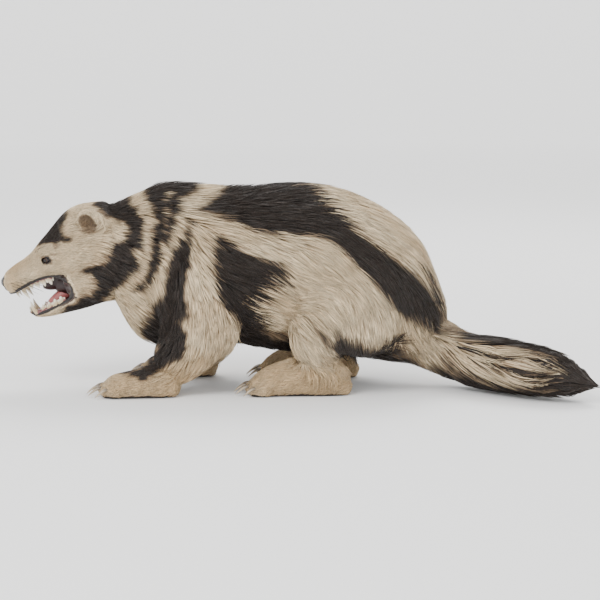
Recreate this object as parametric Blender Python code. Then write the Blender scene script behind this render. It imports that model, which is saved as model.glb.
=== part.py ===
"""A still, life-size wolverine that stalks low with its mouth open in a snarl.

The animal faces -X and its left side is towards -Y. Units are metres. The body is modelled whole, with its
long coat as overlapping locks, and is then parted into named pieces by thin flat cuts.
"""

import math
import random
from typing import NamedTuple

import bmesh
import bpy
import numpy as np
from mathutils import Matrix, Vector
from mathutils.bvhtree import BVHTree

# Driving sizes, measured to the tips of the coat
NOSE_TIP_X = -0.4925
NOSE_TIP_Z = 0.172
HEAD_PITCH = math.radians(22.0)
FRONT_STANCE = 0.092
HIND_STANCE = 0.076
FRONT_REACH = {"left": 0.0, "right": 0.052}
HIND_REACH = {"left": 0.0, "right": 0.016}

# The dense underfur forms a core under the long guard hair, this far below the outline
COAT_DEPTH = 0.013
NECK_COAT_DEPTH = 0.010
LIMB_COAT_DEPTH = 0.007
TAIL_COAT_DEPTH = 0.022

GAP = 0.0003
RING_POINTS = 24
RINGS_BETWEEN = 4
BODY_VOXEL = 0.0065
HEAD_VOXEL = 0.0034
PAW_VOXEL = 0.003
SMOOTHING = 7
BODY_FACES = 1100
HEAD_FACES = 1100
PAW_FACES = 260
SEED = 11

# A lock's stations: share of its length, sink of the root, rise as a share of the coat, width and thickness
LOCK_STATIONS = (
    (0.0, 0.008, 0.0, 0.70, 0.8),
    (0.33, 0.0, 0.50, 1.00, 1.0),
    (0.72, 0.0, 0.88, 0.72, 0.8),
    (1.0, 0.0, 1.05, 0.0, 0.0),
)
LOCK_DROOP = 0.02
ROOT_TRIES = 9000
SHORTER_WHERE_IT_FOLDS = (1.0, 0.85, 0.7, 0.55)
END_CONVERGENCE = 0.32
FLOOR_CLEARANCE = 0.0022

EYE_RADIUS = 0.0084
EYE_T, EYE_H, EYE_SIDE = 0.093, 0.0085, 0.0410
LID_THICKNESS = 0.0019


class Section(NamedTuple):
    """One cross-section of a body part: its centre, its heading, and its reach up, down and sideways."""

    x: float
    y: float
    z: float
    tilt: float
    up: float
    down: float
    side: float
    turn: float = 0.0
    roundness: float = 1.0


class HeadSection(NamedTuple):
    """A section of the head: how far it is behind the nose tip, its top, bottom and half width, and the
    height of its widest line. A lower roundness makes it squarer."""

    back: float
    top: float
    bottom: float
    side: float
    widest: float
    roundness: float = 1.0


TORSO = (
    Section(-0.275, 0, 0.200, 0, 0.098, 0.100, 0.070),
    Section(-0.250, 0, 0.197, 0, 0.125, 0.124, 0.090),
    Section(-0.215, 0, 0.195, 0, 0.1425, 0.132, 0.104),
    Section(-0.166, 0, 0.195, 0, 0.1365, 0.128, 0.111),
    Section(-0.118, 0, 0.195, 0, 0.130, 0.124, 0.112),
    Section(-0.070, 0, 0.195, 0, 0.138, 0.132, 0.116),
    Section(-0.022, 0, 0.195, 0, 0.1435, 0.139, 0.121),
    Section(0.034, 0, 0.192, 4, 0.1425, 0.136, 0.123),
    Section(0.085, 0, 0.180, 18, 0.130, 0.130, 0.120),
    Section(0.132, 0, 0.160, 32, 0.110, 0.124, 0.112),
    Section(0.163, 0, 0.138, 36, 0.088, 0.112, 0.098),
    Section(0.188, 0, 0.115, 36, 0.068, 0.090, 0.080),
    Section(0.208, 0, 0.098, 34, 0.056, 0.072, 0.064),
)

NECK = (
    Section(-0.365, 0, 0.222, 0, 0.070, 0.070, 0.056),
    Section(-0.335, 0, 0.220, 0, 0.081, 0.081, 0.067),
    Section(-0.305, 0, 0.220, 0, 0.084, 0.082, 0.074),
    Section(-0.280, 0, 0.212, 0, 0.100, 0.106, 0.081),
    Section(-0.255, 0, 0.203, 0, 0.118, 0.126, 0.090),
    Section(-0.225, 0, 0.197, 0, 0.137, 0.130, 0.097),
)

TAIL = (
    Section(0.190, 0.000, 0.094, 36, 0.054, 0.066, 0.064),
    Section(0.218, -0.007, 0.078, 32, 0.050, 0.062, 0.062, -10),
    Section(0.252, -0.024, 0.062, 25, 0.047, 0.056, 0.058, -26),
    Section(0.292, -0.050, 0.053, 12, 0.045, 0.052, 0.056, -36),
    Section(0.332, -0.082, 0.049, 4, 0.043, 0.047, 0.055, -40),
    Section(0.372, -0.114, 0.047, 3, 0.041, 0.045, 0.053, -38),
    Section(0.405, -0.139, 0.043, 7, 0.036, 0.040, 0.046, -34),
    Section(0.430, -0.156, 0.037, 9, 0.029, 0.033, 0.036, -31),
)

SKULL = (
    HeadSection(0.004, 0.0060, -0.0165, 0.0140, -0.006, 0.90),
    HeadSection(0.014, 0.0125, -0.0230, 0.0220, -0.008, 0.86),
    HeadSection(0.030, 0.0180, -0.0235, 0.0300, -0.010, 0.84),
    HeadSection(0.048, 0.0215, -0.0215, 0.0335, -0.009, 0.84),
    HeadSection(0.066, 0.0270, -0.0215, 0.0390, -0.007, 0.86),
    HeadSection(0.084, 0.0370, -0.0250, 0.0465, -0.004, 0.90),
    HeadSection(0.102, 0.0460, -0.0330, 0.0560, -0.006, 0.94),
    HeadSection(0.120, 0.0560, -0.0430, 0.0625, -0.008, 0.97),
    HeadSection(0.140, 0.0655, -0.0510, 0.0670, -0.009, 1.00),
    HeadSection(0.160, 0.0695, -0.0560, 0.0685, -0.009, 1.00),
    HeadSection(0.180, 0.0660, -0.0570, 0.0665, -0.006, 1.00),
    HeadSection(0.205, 0.0560, -0.0560, 0.0610, -0.002, 1.00),
)

JAW = (
    HeadSection(0.026, -0.0600, -0.0670, 0.0130, -0.064, 0.90),
    HeadSection(0.034, -0.0620, -0.0760, 0.0190, -0.068, 0.86),
    HeadSection(0.050, -0.0650, -0.0815, 0.0240, -0.072, 0.86),
    HeadSection(0.070, -0.0655, -0.0850, 0.0290, -0.073, 0.86),
    HeadSection(0.090, -0.0635, -0.0875, 0.0370, -0.072, 0.88),
    HeadSection(0.108, -0.0560, -0.0900, 0.0450, -0.070, 0.92),
    HeadSection(0.126, -0.0440, -0.0915, 0.0540, -0.066, 0.96),
    HeadSection(0.146, -0.0300, -0.0925, 0.0600, -0.060, 1.00),
    HeadSection(0.168, -0.0200, -0.0950, 0.0610, -0.056, 1.00),
    HeadSection(0.190, -0.0100, -0.0960, 0.0570, -0.052, 1.00),
)

CHEEK = (0.139, 0.036, -0.046)
CHEEK_RADII = (0.041, 0.026, 0.040)

def front_leg(side, reach):
    """The sections of a front leg, from the shoulder to the wrist. reach moves the paw back."""
    y = side * FRONT_STANCE
    return (
        Section(-0.195, 0.62 * y, 0.245, 80, 0.055, 0.048, 0.030),
        Section(-0.185, 0.80 * y, 0.205, 78, 0.062, 0.056, 0.040),
        Section(-0.172, 0.93 * y, 0.155, 80, 0.064, 0.060, 0.044),
        Section(-0.160 + 0.10 * reach, y, 0.112, 100, 0.066, 0.060, 0.044),
        Section(-0.178 + 0.40 * reach, y, 0.078, 120, 0.052, 0.052, 0.040),
        Section(-0.203 + 0.85 * reach, y, 0.048, 128, 0.039, 0.042, 0.036),
        Section(-0.217 + reach, y, 0.030, 140, 0.022, 0.020, 0.026),
    )


def front_paw(side, reach):
    """The sections of a front paw, from the knuckles to the heel pad."""
    y = side * (FRONT_STANCE + 0.002)
    return (
        Section(-0.314 + reach, y, 0.009, 0, 0.014, 0.016, 0.034),
        Section(-0.303 + reach, y, 0.013, 0, 0.019, 0.020, 0.040),
        Section(-0.280 + reach, y, 0.016, 0, 0.022, 0.024, 0.041),
        Section(-0.250 + reach, y, 0.018, 0, 0.027, 0.026, 0.039),
        Section(-0.222 + reach, y, 0.018, 0, 0.031, 0.026, 0.036),
        Section(-0.200 + reach, y, 0.015, 0, 0.022, 0.020, 0.029),
    )


def hind_leg(side, reach):
    """The sections of a hind leg, from the hip to the heel. reach moves the foot back."""
    y = side * HIND_STANCE
    return (
        Section(0.140, 0.60 * y, 0.165, 152, 0.070, 0.072, 0.046),
        Section(0.105 + 0.12 * reach, 0.98 * y, 0.143, 146, 0.080, 0.082, 0.052),
        Section(0.066 + 0.30 * reach, 1.18 * y, 0.113, 138, 0.070, 0.072, 0.048),
        Section(0.036 + 0.45 * reach, 1.22 * y, 0.090, 110, 0.054, 0.054, 0.044),
        Section(0.036 + 0.75 * reach, 1.10 * y, 0.064, 70, 0.042, 0.042, 0.038),
        Section(0.046 + 0.95 * reach, y, 0.036, 60, 0.024, 0.024, 0.025),
    )


def hind_paw(side, reach):
    """The sections of a hind foot, which stands flat from the toes to the heel."""
    y = side * (HIND_STANCE + 0.004)
    return (
        Section(-0.078 + reach, y, 0.009, 0, 0.015, 0.016, 0.034),
        Section(-0.066 + reach, y, 0.014, 0, 0.022, 0.021, 0.039),
        Section(-0.040 + reach, y, 0.019, 0, 0.031, 0.026, 0.038),
        Section(-0.005 + reach, y, 0.021, 0, 0.038, 0.028, 0.036),
        Section(0.035 + reach, y, 0.020, 0, 0.038, 0.028, 0.033),
        Section(0.062 + reach, y, 0.018, 0, 0.032, 0.026, 0.029),
        Section(0.077 + reach, y, 0.015, 0, 0.021, 0.020, 0.021),
    )


class Coat(NamedTuple):
    """How the long hair grows at a place: its lie, one lock's sizes, its rise and the locks' spacing."""

    lie: Vector
    length: float
    width: float
    thickness: float
    depth: float
    spacing: float


class Look(NamedTuple):
    """A piece's colour and roughness."""

    color: tuple
    roughness: float


DARK_COAT = (0.030, 0.017, 0.010)
PALE_COAT = (0.560, 0.420, 0.260)
LOOKS = {
    "head": Look(PALE_COAT, 0.80),
    "lower_jaw": Look(PALE_COAT, 0.80),
    "neck": Look(DARK_COAT, 0.85),
    "torso": Look(DARK_COAT, 0.85),
    "tail": Look(DARK_COAT, 0.85),
    "front_leg": Look(PALE_COAT, 0.85),
    "hind_leg": Look(PALE_COAT, 0.85),
    "front_paw": Look(PALE_COAT, 0.80),
    "hind_paw": Look(PALE_COAT, 0.80),
    "ear": Look(PALE_COAT, 0.80),
    "nose": Look((0.012, 0.010, 0.009), 0.35),
    "eye": Look((0.015, 0.008, 0.005), 0.08),
    "tongue": Look((0.420, 0.120, 0.110), 0.40),
}


class Toe(NamedTuple):
    """One toe: how far it is set out across the paw and back from the foremost one, and its splay."""

    across: float
    back: float
    splay: float


TOES = (
    Toe(-0.031, 0.016, -16),
    Toe(-0.0165, 0.004, -7),
    Toe(0.000, 0.000, 0),
    Toe(0.0165, 0.003, 7),
    Toe(0.031, 0.013, 16),
)
TOE_RADIUS = 0.0096
TOE_LENGTH = 0.024
CLAW_LENGTH = 0.024
CLAW_RADIUS = 0.0036


def clear_scene():
    """Removes whatever the scene holds."""
    for obj in list(bpy.data.objects):
        bpy.data.objects.remove(obj)


def mesh_object(name, points, faces):
    """A new object with a mesh of these points and faces, its faces pointing out."""
    mesh = bpy.data.meshes.new(name)
    mesh.from_pydata([tuple(p) for p in points], [], [tuple(f) for f in faces])
    work = bmesh.new()
    work.from_mesh(mesh)
    bmesh.ops.recalc_face_normals(work, faces=work.faces)
    work.to_mesh(mesh)
    work.free()
    obj = bpy.data.objects.new(name, mesh)
    bpy.context.scene.collection.objects.link(obj)
    return obj


def applied(obj):
    """Replaces the object's mesh by what its modifiers make of it."""
    graph = bpy.context.evaluated_depsgraph_get()
    mesh = bpy.data.meshes.new_from_object(obj.evaluated_get(graph))
    obj.modifiers.clear()
    old = obj.data
    obj.data = mesh
    bpy.data.meshes.remove(old)
    return obj


def boolean(obj, other, operation):
    """Applies one Boolean with another object to this one."""
    step = obj.modifiers.new(operation.lower(), "BOOLEAN")
    step.operation = operation
    step.solver = "MANIFOLD"
    step.object = other
    return applied(obj)


def united(name, objects):
    """One closed object: the union of these closed objects, which are then removed."""
    first, rest = objects[0], objects[1:]
    group = bpy.data.collections.new(name)
    bpy.context.scene.collection.children.link(group)
    for obj in rest:
        bpy.context.scene.collection.objects.unlink(obj)
        group.objects.link(obj)
    step = first.modifiers.new("join", "BOOLEAN")
    step.operation = "UNION"
    step.operand_type = "COLLECTION"
    step.collection = group
    step.solver = "MANIFOLD"
    applied(first)
    for obj in rest:
        bpy.data.objects.remove(obj)
    bpy.data.collections.remove(group)
    first.name = name
    return first


def largest_surface(obj):
    """Keeps only the object's largest connected surface."""
    work = bmesh.new()
    work.from_mesh(obj.data)
    unseen, groups = set(work.faces), []
    while unseen:
        front, group = [unseen.pop()], []
        while front:
            face = front.pop()
            group.append(face)
            for edge in face.edges:
                for other in edge.link_faces:
                    if other in unseen:
                        unseen.remove(other)
                        front.append(other)
        groups.append(group)
    groups.sort(key=lambda faces: sum(f.calc_area() for f in faces), reverse=True)
    for group in groups[1:]:
        bmesh.ops.delete(work, geom=group, context="FACES")
    work.to_mesh(obj.data)
    work.free()
    return obj


def spline(values, at):
    """A Catmull-Rom reading of rows of values at a place counted in rows."""
    rows = np.asarray(values, float)
    last = len(rows) - 1
    i = min(int(at), last - 1)
    t = at - i
    before = rows[i - 1] if i > 0 else 2 * rows[0] - rows[1]
    after = rows[i + 2] if i + 2 <= last else 2 * rows[last] - rows[last - 1]
    a, b = rows[i], rows[i + 1]
    return 0.5 * (
        2 * a
        + (b - before) * t
        + (2 * before - 5 * a + 4 * b - after) * t**2
        + (3 * a - before - 3 * b + after) * t**3
    )


def section_at(sections, share):
    """The section at a share from 0 to 1 of the way along."""
    return Section(*spline(sections, share * (len(sections) - 1)))


def frame_of(section):
    """The heading, sideways and upward directions of a section."""
    tilt, turn = math.radians(section.tilt), math.radians(section.turn)
    rotation = Matrix.Rotation(turn, 3, "Z")
    heading = rotation @ Vector((math.cos(tilt), 0, -math.sin(tilt)))
    upward = rotation @ Vector((math.sin(tilt), 0, math.cos(tilt)))
    return heading, rotation @ Vector((0, 1, 0)), upward


def rim_point(section, angle, inset=0.0):
    """A point on the rim of a section. Angle 0 is its side and a quarter turn is its top."""
    _, sideways, upward = frame_of(section)
    c, s = math.cos(angle), math.sin(angle)
    reach = section.up if s > 0 else section.down
    across = (section.side - inset) * math.copysign(abs(c) ** section.roundness, c)
    height = (reach - inset) * math.copysign(abs(s) ** section.roundness, s)
    return Vector(section[:3]) + sideways * across + upward * height


def loft(name, sections, inset=0.0, around=RING_POINTS, between=RINGS_BETWEEN):
    """A closed tube through the sections, with its ends domed."""
    count = (len(sections) - 1) * between + 1
    points = []
    for i in range(count):
        section = section_at(sections, i / (count - 1))
        for k in range(around):
            points.append(rim_point(section, 2 * math.pi * k / around, inset))
    faces = []
    for i in range(count - 1):
        for k in range(around):
            a, b = i * around + k, i * around + (k + 1) % around
            faces.append((a, b, b + around, a + around))
    for start, end, ring in ((0, -1, 0), (-1, 1, count - 1)):
        section = sections[start]
        heading, _, _ = frame_of(section)
        dome = 0.45 * (min(section.up, section.down, section.side) - inset)
        points.append(Vector(section[:3]) + heading * end * dome)
        tip, base = len(points) - 1, ring * around
        for k in range(around):
            faces.append((base + k, base + (k + 1) % around, tip))
    return mesh_object(name, points, faces)


def ellipsoid(name, centre, radii, turn=None, segments=20):
    """A closed ellipsoid. turn is a rotation matrix, if it is not set square."""
    work = bmesh.new()
    bmesh.ops.create_uvsphere(work, u_segments=segments, v_segments=segments // 2, radius=1.0)
    turned = (turn or Matrix.Identity(3)).to_4x4()
    matrix = Matrix.Translation(centre) @ turned @ Matrix.Diagonal((*radii, 1))
    bmesh.ops.transform(work, matrix=matrix, verts=work.verts)
    mesh = bpy.data.meshes.new(name)
    work.to_mesh(mesh)
    work.free()
    obj = bpy.data.objects.new(name, mesh)
    bpy.context.scene.collection.objects.link(obj)
    return obj


def blended(name, objects, voxel, faces, smoothing=SMOOTHING):
    """One smooth closed skin round these overlapping closed objects, with about this many faces."""
    points, polygons = [], []
    for obj in objects:
        start = len(points)
        points.extend(obj.matrix_world @ v.co for v in obj.data.vertices)
        polygons.extend([start + i for i in p.vertices] for p in obj.data.polygons)
        bpy.data.objects.remove(obj)
    mesh = bpy.data.meshes.new(name)
    mesh.from_pydata([tuple(p) for p in points], [], polygons)
    skin = bpy.data.objects.new(name, mesh)
    bpy.context.scene.collection.objects.link(skin)
    remesh = skin.modifiers.new("remesh", "REMESH")
    remesh.mode = "VOXEL"
    remesh.voxel_size = voxel
    smooth = skin.modifiers.new("smooth", "SMOOTH")
    smooth.factor = 0.5
    smooth.iterations = smoothing
    applied(skin)
    thin = skin.modifiers.new("thin", "DECIMATE")
    thin.ratio = faces / (2 * len(skin.data.polygons))
    thin.use_collapse_triangulate = True
    applied(skin)
    return largest_surface(skin)


def head_matrix():
    """From the head's own axes, back, sideways and up from the nose tip, to the animal's."""
    turn = Matrix.Rotation(-HEAD_PITCH, 4, "Y")
    return Matrix.Translation((NOSE_TIP_X, 0, NOSE_TIP_Z)) @ turn


def head_point(back, side, height):
    """A point of the head, given in the head's own axes."""
    return head_matrix() @ Vector((back, side, height))


def head_sections(rows):
    """Sections of the head as sections of the body."""
    made = []
    for row in rows:
        centre = head_point(row.back, 0, row.widest)
        up, down = row.top - row.widest, row.widest - row.bottom
        made.append(Section(*centre, -math.degrees(HEAD_PITCH), up, down, row.side, 0, row.roundness))
    return made


def ear_shape(side):
    """A short rounded ear laid back against the head, hollowed on its outer face."""
    turn = head_matrix().to_3x3() @ Matrix.Rotation(math.radians(-side * 24), 3, "X")
    turn = turn @ Matrix.Rotation(math.radians(side * 28), 3, "Z")
    centre = head_point(0.184, side * 0.063, 0.038)
    cup = ellipsoid("cup", centre, (0.024, 0.0085, 0.025), turn, 16)
    hollow_at = centre + turn @ Vector((-0.004, side * 0.0085, 0.003))
    hollow = ellipsoid("hollow", hollow_at, (0.015, 0.008, 0.016), turn, 12)
    boolean(cup, hollow, "DIFFERENCE")
    bpy.data.objects.remove(hollow)
    return cup


def cone(name, root, tip, radius, sides=6, bend=None, steps=1):
    """A tapered closed spike from root to tip. bend moves its middle sideways."""
    root, tip = Vector(root), Vector(tip)
    axis = (tip - root).normalized()
    across = axis.orthogonal().normalized()
    other = axis.cross(across)
    points, faces = [], []
    for i in range(steps + 1):
        t = i / (steps + 1)
        centre = root.lerp(tip, t) + (bend or Vector()) * 4 * t * (1 - t)
        r = radius * (1 - t) ** 0.7
        for k in range(sides):
            a = 2 * math.pi * k / sides
            points.append(centre + across * r * math.cos(a) + other * r * math.sin(a))
    for i in range(steps):
        for k in range(sides):
            a, b = i * sides + k, i * sides + (k + 1) % sides
            faces.append((a, b, b + sides, a + sides))
    points.append(tip)
    for k in range(sides):
        faces.append((steps * sides + k, steps * sides + (k + 1) % sides, len(points) - 1))
    faces.append(tuple(range(sides)))
    return mesh_object(name, points, faces)


def tooth(back, side, root, tip, radius, lean=0.0, sides=5, steps=1):
    """A pointed tooth that stands up or down from a jaw. lean moves its tip back."""
    bend = head_point(-0.0018, 0, 0) - head_point(0, 0, 0)
    start, end = head_point(back, side, root), head_point(back + lean, side * 1.08, tip)
    return cone("tooth", start, end, radius, sides, bend, steps)


def upper_teeth():
    """The teeth of the upper jaw: six incisors, two canines and the cheek teeth behind them."""
    teeth = []
    for k in range(6):
        out = abs(k - 2.5)
        reach = -0.0300 - 0.0012 * out
        teeth.append(tooth(0.0190 + 0.0010 * out, (k - 2.5) * 0.0046, -0.016, reach, 0.0026))
    for side in (-1, 1):
        teeth.append(tooth(0.0325, side * 0.0185, -0.014, -0.0405, 0.0056, 0.0035, 6, 2))
        for k in range(4):
            size = 0.0040 + 0.0006 * k
            reach = -0.0300 - 0.0012 * k
            teeth.append(tooth(0.0475 + 0.0112 * k, side * (0.0215 + 0.0028 * k), -0.014, reach, size))
    return teeth


def lower_teeth():
    """The teeth of the lower jaw, set to close between the upper ones."""
    teeth = []
    for k in range(6):
        out = abs(k - 2.5)
        teeth.append(tooth(0.0310 + 0.0008 * out, (k - 2.5) * 0.0036, -0.069, -0.0560, 0.0022, -0.0015))
    for side in (-1, 1):
        teeth.append(tooth(0.0385, side * 0.0155, -0.070, -0.0465, 0.0050, -0.0015, 6, 2))
        for k in range(4):
            size = 0.0040 + 0.0006 * k
            reach = -0.0560 + 0.0008 * k
            teeth.append(tooth(0.0520 + 0.0112 * k, side * (0.0180 + 0.0028 * k), -0.069, reach, size))
    return teeth


def tongue_shape():
    """A broad tongue that arches up from the floor of the mouth."""
    rows = (
        HeadSection(0.124, -0.0445, -0.0665, 0.0100, -0.056),
        HeadSection(0.108, -0.0455, -0.0675, 0.0105, -0.056),
        HeadSection(0.090, -0.0500, -0.0680, 0.0105, -0.058),
        HeadSection(0.072, -0.0560, -0.0690, 0.0100, -0.062),
        HeadSection(0.057, -0.0595, -0.0690, 0.0088, -0.064),
        HeadSection(0.049, -0.0610, -0.0680, 0.0060, -0.0645),
    )
    return loft("tongue_mass", head_sections(rows), 0, 10, 1)


def head_mass():
    """The head with its jaw hanging open, before the teeth, lids and ears are added."""
    cheeks = []
    for side in (-1, 1):
        centre = head_point(CHEEK[0], side * CHEEK[1], CHEEK[2])
        cheeks.append(ellipsoid("cheek", centre, CHEEK_RADII, head_matrix().to_3x3()))
    brows = []
    for side in (-1, 1):
        centre = head_point(0.099, side * 0.036, 0.0230)
        brows.append(ellipsoid("brow", centre, (0.020, 0.011, 0.010), head_matrix().to_3x3()))
    pads = []
    for side in (-1, 1):
        centre = head_point(0.023, side * 0.015, -0.014)
        pads.append(ellipsoid("pad", centre, (0.018, 0.011, 0.012), head_matrix().to_3x3()))
    skull = loft("skull", head_sections(SKULL))
    jaw = loft("jaw", head_sections(JAW))
    parts = [skull, jaw, *cheeks, *brows, *pads]
    return blended("head_mass", parts, HEAD_VOXEL, HEAD_FACES, 3)


def add_lids(head):
    """Raises a lid round each eye, opens it, and hollows a socket that clears the eyeball."""
    for side in (-1, 1):
        centre = head_point(EYE_T, side * EYE_SIDE, EYE_H)
        outward = Matrix.Rotation(math.radians(side * 28), 3, "Z")
        turn = head_matrix().to_3x3() @ outward
        lid = ellipsoid("lid", centre, [EYE_RADIUS + LID_THICKNESS] * 3, turn, 12)
        boolean(head, lid, "UNION")
        bpy.data.objects.remove(lid)
        opening_at = centre + turn @ Vector((0, side * EYE_RADIUS, 0.0002))
        opening = ellipsoid("opening", opening_at, (0.0086, 0.008, 0.0056), turn, 10)
        boolean(head, opening, "DIFFERENCE")
        bpy.data.objects.remove(opening)
        socket = ellipsoid("socket", centre, [EYE_RADIUS + GAP] * 3, turn, 12)
        boolean(head, socket, "DIFFERENCE")
        bpy.data.objects.remove(socket)


def add_nostrils(head):
    """Hollows the two nostrils into the front of the nose."""
    for side in (-1, 1):
        centre = head_point(0.003, side * 0.0072, -0.003)
        nostril = ellipsoid("nostril", centre, (0.0055, 0.0032, 0.0040), head_matrix().to_3x3(), 12)
        boolean(head, nostril, "DIFFERENCE")
        bpy.data.objects.remove(nostril)


def paw_shape(name, sections):
    """A broad paw with five toes at its end, and the claws."""
    end = sections[0]
    toes, claws = [], []
    for toe in TOES:
        splay = math.radians(toe.splay)
        ahead = Vector((-math.cos(splay), math.sin(splay), 0))
        middle = Vector((end.x + 0.004 + toe.back, end.y + toe.across, 0.0105))
        turn = Matrix.Rotation(-splay, 3, "Z")
        toes.append(ellipsoid("toe", middle, (TOE_LENGTH * 0.7, TOE_RADIUS, 0.0115), turn))
        start = middle + ahead * 0.010 + Vector((0, 0, 0.0045))
        tip = start + ahead * CLAW_LENGTH + Vector((0, 0, -0.0125))
        claws.append(cone("claw", start, tip, CLAW_RADIUS, 5, Vector((0, 0, 0.0040)), 2))
    paw = blended(name, [loft("foot", sections), *toes], PAW_VOXEL, PAW_FACES, 3)
    return united(name, [paw, *claws])


def body_mass():
    """The torso, neck, tail core and legs as one smooth form."""
    parts = [loft("trunk", TORSO, COAT_DEPTH), loft("nape", NECK, NECK_COAT_DEPTH)]
    parts.append(loft("tail_core", TAIL, TAIL_COAT_DEPTH))
    for name, side in (("left", -1), ("right", 1)):
        parts.append(loft("arm", front_leg(side, FRONT_REACH[name]), LIMB_COAT_DEPTH))
        parts.append(loft("haunch", hind_leg(side, HIND_REACH[name]), LIMB_COAT_DEPTH))
    return blended("body_mass", parts, BODY_VOXEL, BODY_FACES)


def smoothstep(low, high, value):
    """0 below low, 1 above high, and a smooth rise between."""
    t = min(max((value - low) / (high - low), 0.0), 1.0)
    return t * t * (3 - 2 * t)


def tail_place(point):
    """How far along the tail a point lies, from 0 to 1, and its distance from the tail's middle line."""
    best, place = 1e9, 0.0
    for i in range(33):
        section = section_at(TAIL, i / 32)
        distance = (point - Vector(section[:3])).length
        if distance < best:
            best, place = distance, i / 32
    return place, best


def coat_at(point):
    """The lie and the build of the coat at a point, or None where the fur is short."""
    side = 1 if point.y > 0 else -1
    along, off = tail_place(point)
    if point.x > 0.205 and off < 0.075:
        heading, _, _ = frame_of(section_at(TAIL, along))
        swell = math.sin(math.pi * min(0.25 + 0.75 * along, 1))
        return Coat(heading, 0.092 + 0.014 * swell, 0.048, 0.014, TAIL_COAT_DEPTH, 0.042)
    if point.z < 0.052:
        return None
    if point.x < -0.262:
        if point.x < -0.345:
            return None
        cheek = smoothstep(-0.300, -0.350, point.x)
        lie = Vector((1, 0.22 * side * cheek, -0.30))
        return Coat(lie, 0.070 - 0.012 * cheek, 0.048, 0.010, NECK_COAT_DEPTH, 0.046)
    leg = smoothstep(0.150, 0.110, point.z) * smoothstep(0.050, 0.080, abs(point.y))
    if leg > 0.5 and point.x < -0.10:
        if point.z < 0.075 and point.x < -0.185:
            return None
        return Coat(Vector((0.25, 0, -1)), 0.064, 0.044, 0.011, LIMB_COAT_DEPTH + 0.003, 0.044)
    if leg > 0.5 and point.x < 0.04 and point.z < 0.085:
        return None
    flank = smoothstep(0.045, 0.105, abs(point.y))
    thigh = smoothstep(-0.01, 0.05, point.x) * flank
    shoulder = smoothstep(-0.12, -0.17, point.x) * flank
    fall = -0.12 - 0.34 * flank - 0.45 * thigh - 0.35 * shoulder
    lie = Vector((1, 0, fall))
    length = 0.092 + 0.014 * smoothstep(-0.1, 0.1, point.x)
    return Coat(lie, length, 0.066, 0.013, COAT_DEPTH, 0.060)


def scattered(surface, spacing_at):
    """Points spread evenly over an object's surface, in a seeded order."""
    rng = random.Random(SEED)
    mesh = surface.data
    mesh.calc_loop_triangles()
    triangles = [[mesh.vertices[i].co.copy() for i in t.vertices] for t in mesh.loop_triangles]
    areas = np.array([((t[1] - t[0]).cross(t[2] - t[0])).length / 2 for t in triangles])
    edges = np.cumsum(areas) / areas.sum()
    kept = []
    for _ in range(ROOT_TRIES):
        corner = triangles[int(np.searchsorted(edges, rng.random()))]
        normal = (corner[1] - corner[0]).cross(corner[2] - corner[0]).normalized()
        a, b = rng.random(), rng.random()
        if a + b > 1:
            a, b = 1 - a, 1 - b
        point = corner[0] + (corner[1] - corner[0]) * a + (corner[2] - corner[0]) * b
        spacing = spacing_at(point, normal)
        if spacing and all((point - other).length > spacing for other in kept):
            kept.append(point)
    return kept


def folds(points, faces):
    """Whether a surface of triangles crosses itself."""
    tree = BVHTree.FromPolygons(points, faces)
    return any(not set(faces[a]) & set(faces[b]) for a, b in tree.overlap(tree))


def lock(surface, root, coat, length, width, sway):
    """The points and faces of a flat tapered lock that leaves the skin at its root and lies along the body."""
    lie = coat.lie.normalized()
    at, normal, _, _ = surface.find_nearest(root)
    heading = (lie - normal * lie.dot(normal)).normalized()
    heading = Matrix.Rotation(sway, 3, normal) @ heading
    points, travelled, free = [], 0.0, False
    for share, sink, lift, wide, thick in LOCK_STATIONS:
        while travelled < share * length - 1e-9:
            step = min(0.008, share * length - travelled)
            travelled += step
            near, facing, _, _ = surface.find_nearest(at + heading * step)
            free = free or (near - at).length < 0.55 * step
            if free:
                at = at + (heading - normal * END_CONVERGENCE) * step
                continue
            heading, normal, at = (near - at).normalized(), facing, near
            goal = lie - normal * lie.dot(normal)
            heading = (heading * 0.8 + goal.normalized() * 0.2).normalized()
        centre = at + normal * (lift * coat.depth - sink)
        if share == 1.0:
            points.append(centre)
            break
        across = normal.cross(heading).normalized() * (width * wide / 2)
        thickness = coat.thickness * thick
        droop = normal * (LOCK_DROOP * width * wide)
        base = centre - normal * (thickness * 0.5) - droop
        points += [base - across, centre + normal * (thickness * 0.6), base + across]
    for point in points:
        point.z = max(point.z, FLOOR_CLEARANCE)
    faces = [(0, 1, 2)]
    last = 3 * (len(LOCK_STATIONS) - 2)
    for start in range(0, last, 3):
        for k in range(3):
            a, b = start + k, start + (k + 1) % 3
            faces += [(a, b, b + 3), (a, b + 3, a + 3)]
    for k in range(3):
        faces.append((last + k, last + (k + 1) % 3, last + 3))
    return points, faces


def all_locks(body):
    """The locks of the whole body, each rooted in the core below it."""
    rng = random.Random(SEED + 1)
    polygons = [p.vertices for p in body.data.polygons]
    surface = BVHTree.FromPolygons([v.co for v in body.data.vertices], polygons)

    def spacing_at(point, normal):
        coat = coat_at(point)
        if coat is None or abs(coat.lie.normalized().dot(normal)) > 0.8:
            return 0
        return coat.spacing

    made = []
    for root in scattered(body, spacing_at):
        coat = coat_at(root)
        length = coat.length * rng.uniform(0.88, 1.12)
        width = coat.width * rng.uniform(0.88, 1.12)
        sway = rng.uniform(-0.16, 0.16)
        for share in SHORTER_WHERE_IT_FOLDS:
            points, faces = lock(surface, root, coat, length * share, width * share, sway)
            if not folds(points, faces):
                made.append(mesh_object("lock", points, faces))
                break
    return made


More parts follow.
